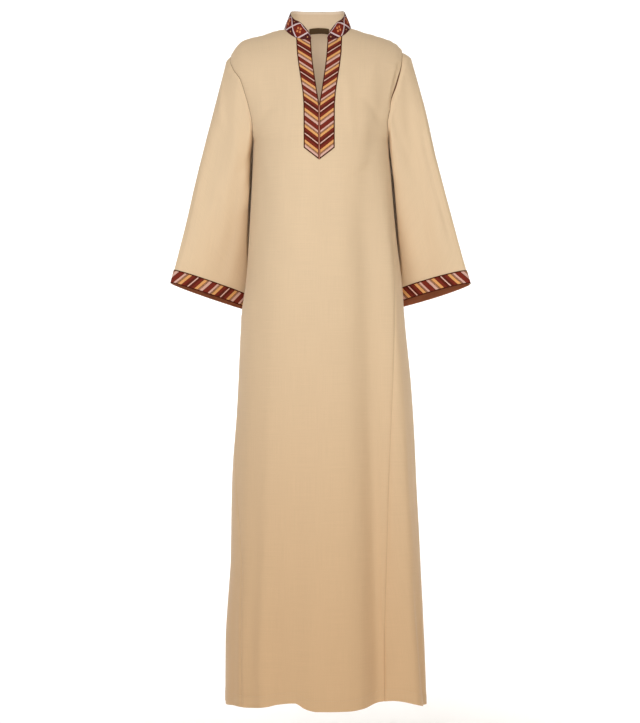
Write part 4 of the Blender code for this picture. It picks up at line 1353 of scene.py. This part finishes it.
def striped_ribbon(name, repeat, slant, shift, width, point_at=FAR_OFF, point_slope=0.0, join_from=FAR_OFF):
    """Slanting stripes between dark borders; the map holds metres along and across."""
    material, shader, place, along, across = new_material(name, RIBBON_ROUGHNESS, gloss=RIBBON_GLOSS)
    phase = ((across * slant + along + shift) / repeat).fraction()
    colour = stripe_ramp(phase)
    dashes = ((along * -slant + across) / DOT_PITCH).fraction() < DOT_SHARE
    for low, high in DOT_ROWS:
        colour = mix(inside(phase, low, high) * dashes, colour, MAROON_DEEP)
    edge = inside(across, BORDER, width - BORDER) < 1.0
    tip = across * point_slope + along > point_at - BORDER * math.hypot(1.0, point_slope)
    colour = mix(edge.either(tip), colour, EDGE_BROWN)
    colour = mix((across < JOIN_HALF) * (along > join_from), colour, JOIN_BROWN)
    height = ripple(along, RIB_PITCH) * RIB_HEIGHT + ripple(across, CROSS_PITCH) * CROSS_HEIGHT + 0.5
    finish(shader, flecked(place, colour, STRIPE_FLECK_DARK), height, RIBBON_BUMP, RIBBON_STRENGTH)
    return material


print("stripes in one repeat:", len(STRIPES))

# %% [markdown]
# The collar's ribbon is of the same family and has a lattice in place of stripes: pale bars cross in the
# middle of its height and leave a row of lozenges. Each lozenge holds four small squares round a cross. A
# triangle wave along the band gives the zigzag edge of a lozenge, and the distance to that edge draws the
# bars.

# %% Lattice ribbon
LATTICE = 0.0460
LATTICE_HALF_HEIGHT = 0.0185
BAR_HALF = 0.0020
SQUARE = 0.0023
SQUARE_AT = 0.0034
OUTER_DOT = 0.0012
OUTER_DOT_AT = 0.62
FOOT_BORDER = 0.0011
TOP_BORDER = 0.0014
END_BORDER = 0.0012
LATTICE_FLECK_DARK = 0.84
LATTICE_DARK = rgb(84, 34, 34)
LATTICE_FIELD = rgb(124, 42, 30)
LATTICE_BAR = rgb(224, 200, 200)
LATTICE_SQUARE = rgb(218, 134, 84)


def close_to(value, place, half):
    """1 where a value is close to a place."""
    return inside(value, place - half, place + half)


def lattice_ribbon(name, shift, middle, top):
    """Crossing bars with a lozenge between each two crossings."""
    material, shader, place, along, up = new_material(name, RIBBON_ROUGHNESS, gloss=RIBBON_GLOSS)
    phase = ((along + shift) / LATTICE).fraction()
    off = abs(up - middle)
    gap = off - (abs(phase * 2.0 - 1.0) * -1.0 + 1.0) * LATTICE_HALF_HEIGHT
    from_middle = abs(phase - 0.5)
    run = from_middle * LATTICE
    edge_run = (from_middle * -1.0 + 0.5) * LATTICE
    colour = mix(gap < 0.0, LATTICE_DARK, LATTICE_FIELD)
    square = close_to(run, SQUARE_AT, SQUARE) * close_to(off, SQUARE_AT, SQUARE)
    colour = mix(square, colour, LATTICE_SQUARE)
    dot_height = LATTICE_HALF_HEIGHT * OUTER_DOT_AT
    outer_dot = close_to(edge_run, 0.0, OUTER_DOT) * close_to(off, dot_height, OUTER_DOT)
    colour = mix(outer_dot, colour, ORANGE)
    colour = mix(abs(gap) < BAR_HALF, colour, LATTICE_BAR)
    edge = inside(up, FOOT_BORDER, top - TOP_BORDER) < 1.0
    colour = mix(edge.either(along < END_BORDER), colour, EDGE_BROWN)
    height = ripple(along, RIB_PITCH) * RIB_HEIGHT + 0.5
    finish(shader, flecked(place, colour, LATTICE_FLECK_DARK), height, RIBBON_BUMP, RIBBON_STRENGTH)
    return material


print("lozenges repeat every", LATTICE)

# %% [markdown]
# Three quiet finishes are left: the brown cotton that lines the cuffs, the dark tape of the neck label and
# the sewing thread. Each has its own weave, since even a small plain piece is looked at closely in a side
# view.

# %% Cotton, tape and thread
PLAIN_SHEEN = 0.05
PLAIN_STRENGTH = 0.6
PLAIN_DRIFT = 60.0
PLAIN_DETAIL = 4.0
DRIFT_SHARE = 0.6
THREAD_SHARE = 0.35
PLAIN = table(
    "name light dark pitch depth roughness",
    ("brown_cotton", rgb(180, 112, 78), rgb(142, 82, 54), 0.0008, 0.00012, 0.85),
    ("dark_tape", rgb(104, 78, 42), rgb(64, 45, 22), 0.0009, 0.0002, 0.6),
    ("sand_thread", rgb(222, 196, 162), rgb(196, 166, 128), 0.0006, 0.0001, 0.7),
    ("maroon_thread", rgb(104, 50, 38), rgb(76, 34, 26), 0.0006, 0.0001, 0.7),
)


def plain_weave(name, light, dark, pitch, depth, roughness):
    """A small piece of plain woven cloth."""
    material, shader, place, across, down = new_material(name, roughness, PLAIN_SHEEN)
    weave = ripple(across, pitch) * ripple(down, pitch) * 0.5 + 0.5
    share = weave * THREAD_SHARE + noise_over(place, (1.0, 1.0), PLAIN_DRIFT, PLAIN_DETAIL) * DRIFT_SHARE
    finish(shader, mix(share, dark, light), weave, depth, PLAIN_STRENGTH)
    return material


facing_cotton, label_tape, thread_sand, thread_maroon = [plain_weave(*row) for row in PLAIN]
print("materials:", len(bpy.data.materials))

# %% [markdown]
# Now the creased sheets become cloth with a thickness. The front, the back and the sleeves are all cut from
# the same sand-coloured weave. The collar band is of it too, with a narrow strip of paler cloth bound over
# its top edge on the inside, where two layers are turned in and stitched.

# %% Cloth pieces
BINDING_ROWS = slice(12, 16)
BINDING = 0.0006
BINDING_GAP = 0.0001
BINDING_WARM = rgb(236, 214, 186)
BINDING_COOL = rgb(228, 204, 176)

cloth = {face: make_wall(face + "_panel_cloth", panels[face], 0.0, CLOTH, cloth_outside) for face in FACES}
for side in SIDES:
    cloth[side] = make_wall("sleeve_cloth_" + side, sleeves[side], 0.0, CLOTH, cloth_outside)
collar_cloth = make_wall("collar_band_cloth", collar, 0.0, CLOTH, cloth_outside)
binding_cloth = sand_cloth("pale_binding_cloth", BINDING_WARM, BINDING_COOL)
binding_sheet = part_of(collar, [collar.ids[0][BINDING_ROWS]])
collar_binding = make_wall("collar_binding", binding_sheet, -CLOTH - BINDING_GAP, BINDING, binding_cloth)

# %% [markdown]
# The seams need their shade, and it is painted shade: the sand cloth darkens where the number seam_near is
# above nothing, so each vertex gets a number that falls from its distance to the nearest seam. A tree of
# points finds the nearest place on a seam quickly. The painted shade in the armhole seams is deep and
# uneven, widest below the shoulder on the right. In the side seams it shows only as faint lines.

# %% Shade in the seams
# Half width of the line of painted shade in each armhole seam, by height
SEAM_SHADES = table(
    "z left right",
    (-0.26, 0.0008, 0.0009), (-0.17, 0.0009, 0.0009), (-0.15, 0.0009, 0.0015),
    (-0.13, 0.0009, 0.0027), (-0.11, 0.0008, 0.0025), (-0.09, 0.0007, 0.0016),
    (-0.07, 0.0005, 0.0006), (-0.03, 0.0002, 0.0002),
)
SHADE_HALF = curves(SEAM_SHADES, "z", SIDES)
SHADE_STEPS = 6
SHADE_END = 0.05
# Half width and strength of the fainter painted shade in the side seams
SIDE_SEAM_HALF = 0.0014
SIDE_SEAM_PEAK = {"left": 0.12, "right": 0.24}


def line_tree(line):
    """The points of a seam and some between them, ready for a nearest search."""
    shares = np.arange(SHADE_STEPS)[:, None] / SHADE_STEPS
    places = [(1 - shares) * a + shares * b for a, b in zip(line[:-1], line[1:])]
    places = np.vstack(places + [line[-1:]])
    tree = kdtree.KDTree(len(places))
    for n, place in enumerate(places):
        tree.insert(place, n)
    tree.balance()
    return tree


def mark_seams(obj, has_side_seams):
    """Write at each vertex how near a seam it is: 0 at the edge of the seam's line of painted shade, more
    inside it.
    """
    values = np.zeros(len(obj.data.vertices), np.float32)
    for n, vertex in enumerate(obj.data.vertices):
        side = "right" if vertex.co.x >= 0 else "left"
        if has_side_seams and vertex.co.z < UNDERARM_Z:
            gap = side_trees[side].find(vertex.co)[2]
            values[n] = SIDE_SEAM_PEAK[side] * (1 - min(gap, SHADE_END) / SIDE_SEAM_HALF)
        else:
            place, _, gap = armhole_trees[side].find(vertex.co)
            values[n] = 1 - min(gap, SHADE_END) / float(SHADE_HALF[side](place.z))
    layer = obj.data.attributes.new("seam_near", "FLOAT", "POINT")
    layer.data.foreach_set("value", values)


armhole_trees = {}
side_trees = {}
for side in SIDES:
    armhole_trees[side] = line_tree(sleeves[side].points[sleeve_ids[side][0]])
    side_trees[side] = line_tree(panels["front"].points[panels["front"].ids[LOWER_GRID[side]][:, -1]])
for key, obj in cloth.items():
    mark_seams(obj, key in FACES)
print("cloths with marked seams:", len(cloth))

# %% [markdown]
# The ribbons are made from the same points as the cloth under them, lifted off it by a third of a
# millimetre. That way they follow every crease and can't sink in or float. Their long edges dip, because
# the stitches that hold them pull them down. On the chest, two lengths run down beside the opening, meet
# under it and end in a point. The map of each length runs down it and across it, so that the stripes slant
# the right way on both sides.

# %% Placket ribbons
LAY_GAP = 0.0003
RIBBON = 0.0009
RIBBON_WIDTH = 0.0320
EDGE_DIP = 0.00035
EDGE_DIP_HALF = 0.0012
STRIPE_SLANT = 0.80
STRIPE_SHIFT = -0.1901
STRIPE_REPEAT = 0.0675
POINT_Z = 0.2895
POINT_SLOPE = 0.79
JOIN_FROM = 0.1735
STRIP_FOOT = 0.35


def ribbon_lift(near_edge):
    """Height of a ribbon's outside above the cloth, by the distance to its nearer edge, where it dips."""
    return LAY_GAP + RIBBON - EDGE_DIP * bell(near_edge, EDGE_DIP_HALF)


def add_ribbon(name, sheet, here, plan, width, material):
    """A ribbon on some points of a sheet, with its own map of metres along and across."""
    small = part_of(sheet, [here], [plan])
    across = small.maps[:, 1]
    return small, make_wall(name, small, ribbon_lift(np.minimum(across, width - across)), RIBBON, material)


def nearest(values, wanted):
    """The place in a list of the value nearest to the wanted one."""
    return int(np.argmin(np.abs(values - wanted)))


placket_finish = striped_ribbon(
    "placket_ribbon_weave", STRIPE_REPEAT, STRIPE_SLANT, STRIPE_SHIFT, RIBBON_WIDTH,
    point_at=POINT_Z, point_slope=POINT_SLOPE, join_from=JOIN_FROM)
placket_ribbons = {}
placket_ids = {}
for side in SIDES:
    here = panels["front"].ids[STRIP_GRID[side]][nearest(UPPER_PARTS, RIBBON_FROM):]
    points = panels["front"].points[here]
    middle = points[:, len(STRIP_COLUMNS) // 2]
    drops = np.append(STRIP_FOOT, -middle[:, 2])
    paths = np.append(STRIP_FOOT, -middle[0, 2] - along_line(middle))
    down = np.interp(-points[..., 2], drops[::-1], paths[::-1])
    plan = np.stack((down, np.broadcast_to(STRIP_COLUMNS * RIBBON_WIDTH, down.shape)), axis=-1)
    _, placket_ribbons[side] = add_ribbon(
        "placket_ribbon_woven_" + side, panels["front"], here, plan, RIBBON_WIDTH, placket_finish)
    placket_ids[side] = here

# %% [markdown]
# The cuff ribbons go right round the sleeve ends. Their stripes lean the other way on the other hand, so
# each side has a finish of its own with the slant turned round. Under each ribbon, inside the sleeve, lies
# a facing of brown cotton. It shows as a dark crescent because the back of the sleeve end hangs lower than
# its front.

# %% Cuff ribbons and facings
CUFF_SLANT = 0.74
CUFF_REPEAT = {"left": 0.0779, "right": 0.0809}
CUFF_LINE_AT = {"left": 0.0587, "right": 0.0636}
cuff_ribbons = {}
cuff_facings = {}
for side in SIDES:
    points = sleeves[side].points[cuff_ids[side]]
    run = along_line(points[len(points) // 2])
    plan = np.stack(np.broadcast_arrays(run, (RIBBON_SHARES * CUFF_RIBBON)[:, None]), axis=-1)
    shift = -CUFF_LINE_AT[side] - CUFF_SLANT * CUFF_RIBBON / 2
    cuff_finish = striped_ribbon(
        "cuff_ribbon_weave_" + side, CUFF_REPEAT[side], CUFF_SLANT, shift, CUFF_RIBBON)
    small, cuff_ribbons[side] = add_ribbon(
        "cuff_ribbon_woven_" + side, sleeves[side], cuff_ids[side], plan, CUFF_RIBBON, cuff_finish)
    cuff_facings[side] = make_wall(
        "cuff_facing_cotton_" + side, small, -CLOTH - LAY_GAP, RIBBON, facing_cotton)
    print("round the cuff", side, round(float(run[-1]), 3))

# %% [markdown]
# The collar ribbon covers the whole outside of the band, from its seam to its top edge. Its map is
# stretched a little near the top, so that the dark border follows the edge although the band is not equally
# tall all round. The label is a short dark tape inside the back of the neck, sewn down at both ends. Its
# upper edge laps over the seam of the collar.

# %% Collar ribbon and label
LATTICE_SHIFT = -0.008
LATTICE_MIDDLE = 0.0175
COLLAR_RIBBON_TOP = 0.0365
TOP_BORDER_FROM = 0.8
LABEL = 0.0007
LABEL_LAP = np.array((0.0, -0.0071, 0.0025))
lattice = lattice_ribbon("collar_ribbon_weave", LATTICE_SHIFT, LATTICE_MIDDLE, COLLAR_RIBBON_TOP)
stretch = (COLLAR_RIBBON_TOP - collar_map[-1, :, 1]) * fade(COLLAR_ROWS[1:, None], TOP_BORDER_FROM, 1.0)
lattice_map = np.stack((collar_map[1:, :, 0], collar_map[1:, :, 1] + stretch), axis=-1)
small = part_of(collar, [collar.ids[0][1:]], [lattice_map])
collar_ribbon = make_wall("collar_ribbon_woven", small, ribbon_lift(small.maps[:, 1]), RIBBON, lattice)

label_rows = slice(nearest(UPPER_PARTS, LABEL_FROM), nearest(UPPER_PARTS, LABEL_TO) + 1)
label_sheet = part_of(panels["back"], [panels["back"].ids[STRIP_GRID[side]][label_rows] for side in SIDES])
z = label_sheet.points[:, 2]
lap = ((z - z.min()) / np.ptp(z))[:, None] * LABEL_LAP
label_sheet = label_sheet._replace(points=label_sheet.points + lap)
neck_tape = make_wall("neck_label_tape", label_sheet, -CLOTH - LAY_GAP, LABEL, label_tape)

# %% [markdown]
# Stitches are what tells a sewn piece from a glued one. Each stitch is a small rounded bead that lies along
# a line of points on the cloth, a little raised in its middle, with a gap before the next. The ribbons are
# sewn down along both edges in dark thread, and the hem with sand-coloured thread.

# %% Stitches
STITCH = 0.0030
STITCH_GAP = 0.0009
STITCH_HALF = 0.00028
STITCH_RISE = 0.00022
STITCH_SINK = 0.6
# The four rings of a stitch: their places along it, and their shares of its full width and height
RING_AT = np.array((0.0, 0.25, 0.75, 1.0))
RING_WIDE = np.array((0.35, 1.0, 1.0, 0.35))
RING_HIGH = np.array((0.2, 1.0, 1.0, 0.2))
FACES_OF_STITCH = 14


def stitches(name, lines, material):
    """Beads along lines; each line is a pair of arrays, points and the directions out of the cloth."""
    points = []
    quads = []
    maps = []
    for line, out in lines:
        runs = along_line(line)
        count = int(runs[-1] / (STITCH + STITCH_GAP))
        for k in range(count):
            start = (k + 0.5) * runs[-1] / count - STITCH / 2
            spots = start + STITCH * RING_AT
            middle = on_line(runs, line, spots)
            normal = unit(on_line(runs, out, spots))
            aside = unit(np.cross(normal, middle[-1] - middle[0]))
            wide = aside * STITCH_HALF * RING_WIDE[:, None]
            high = normal * STITCH_RISE * RING_HIGH[:, None]
            base = len(points)
            for ring in range(4):
                for side_step, up_step in ((1, 0), (0, 1), (-1, 0), (0, -1)):
                    up = high[ring] * (up_step + STITCH_SINK)
                    points.append(middle[ring] + wide[ring] * side_step + up)
            for ring in range(3):
                for a in range(4):
                    first = base + 4 * ring
                    b = (a + 1) % 4
                    quads.append((first + a, first + b, first + 4 + b, first + 4 + a))
                    maps.append(((spots[ring], a), (spots[ring], a + 1), (spots[ring + 1], a + 1),
                                 (spots[ring + 1], a)))
            quads += [(base + 3, base + 2, base + 1, base), (base + 12, base + 13, base + 14, base + 15)]
            maps += [((start, 0),) * 4, ((start, 0),) * 4]
    plan = np.array(maps) * (1.0, STITCH_HALF)
    obj = add_mesh(name, [tuple(p) for p in points], quads, material, plan)
    print(name, len(quads) // FACES_OF_STITCH, "stitches")
    return obj


def raised(sheet, rows, height):
    """Lines of points of a sheet, lifted, with the directions out of the cloth."""
    return [(sheet.points[row] + sheet.normals[row] * height, sheet.normals[row]) for row in rows]


ribbon_top = LAY_GAP + RIBBON - EDGE_DIP
placket_stitches = {}
cuff_stitches = {}
for side in SIDES:
    lines = raised(panels["front"], [placket_ids[side][:, k] for k in (1, -2)], ribbon_top)
    placket_stitches[side] = stitches("placket_stitches_" + side, lines, thread_maroon)
    lines = raised(sleeves[side], [cuff_ids[side][k] for k in (1, -2)], ribbon_top)
    cuff_stitches[side] = stitches("cuff_stitches_" + side, lines, thread_maroon)
lines = raised(collar, [collar.ids[0][k] for k in (2, -2)], ribbon_top)
collar_stitches = stitches("collar_stitches", lines, thread_maroon)

hem_row = len(DOWNS) - 1 - nearest(HEM_ROWS, HEM_STITCH_AT)
hem_stitches = {}
for face in FACES:
    lines = raised(panels[face], [panels[face].ids[LOWER_GRID[side]][hem_row] for side in SIDES], 0.0)
    hem_stitches[face] = stitches("hem_stitches_" + face, lines, thread_sand)

# %% [markdown]
# Every piece now rides on the one body of the part, and each piece that stands for a plain solid hides
# that solid.

# %% Bodies and solids
pieces = [(cloth[face], face + "_panel", "cloth") for face in FACES]
pieces += [(cloth[side], "sleeve_" + side, "cloth") for side in SIDES]
pieces += [(collar_cloth, "collar_band", "cloth"), (collar_ribbon, "collar_ribbon", "collar_ribbon")]
pieces += [(placket_ribbons[side], "placket_ribbon_" + side, "ribbon") for side in SIDES]
pieces += [(cuff_ribbons[side], "cuff_ribbon_" + side, "ribbon") for side in SIDES]
pieces += [(cuff_facings[side], "cuff_facing_" + side, "facing") for side in SIDES]
pieces += [(neck_tape, "neck_label", "label"), (collar_binding, None, "cloth"),
           (collar_stitches, None, "ribbon")]
pieces += [(made, None, "ribbon") for made in (*placket_stitches.values(), *cuff_stitches.values())]
pieces += [(made, None, "cloth") for made in hem_stitches.values()]
for piece, node, slot_name in pieces:
    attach(piece, "root")
    if node:
        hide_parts(node)
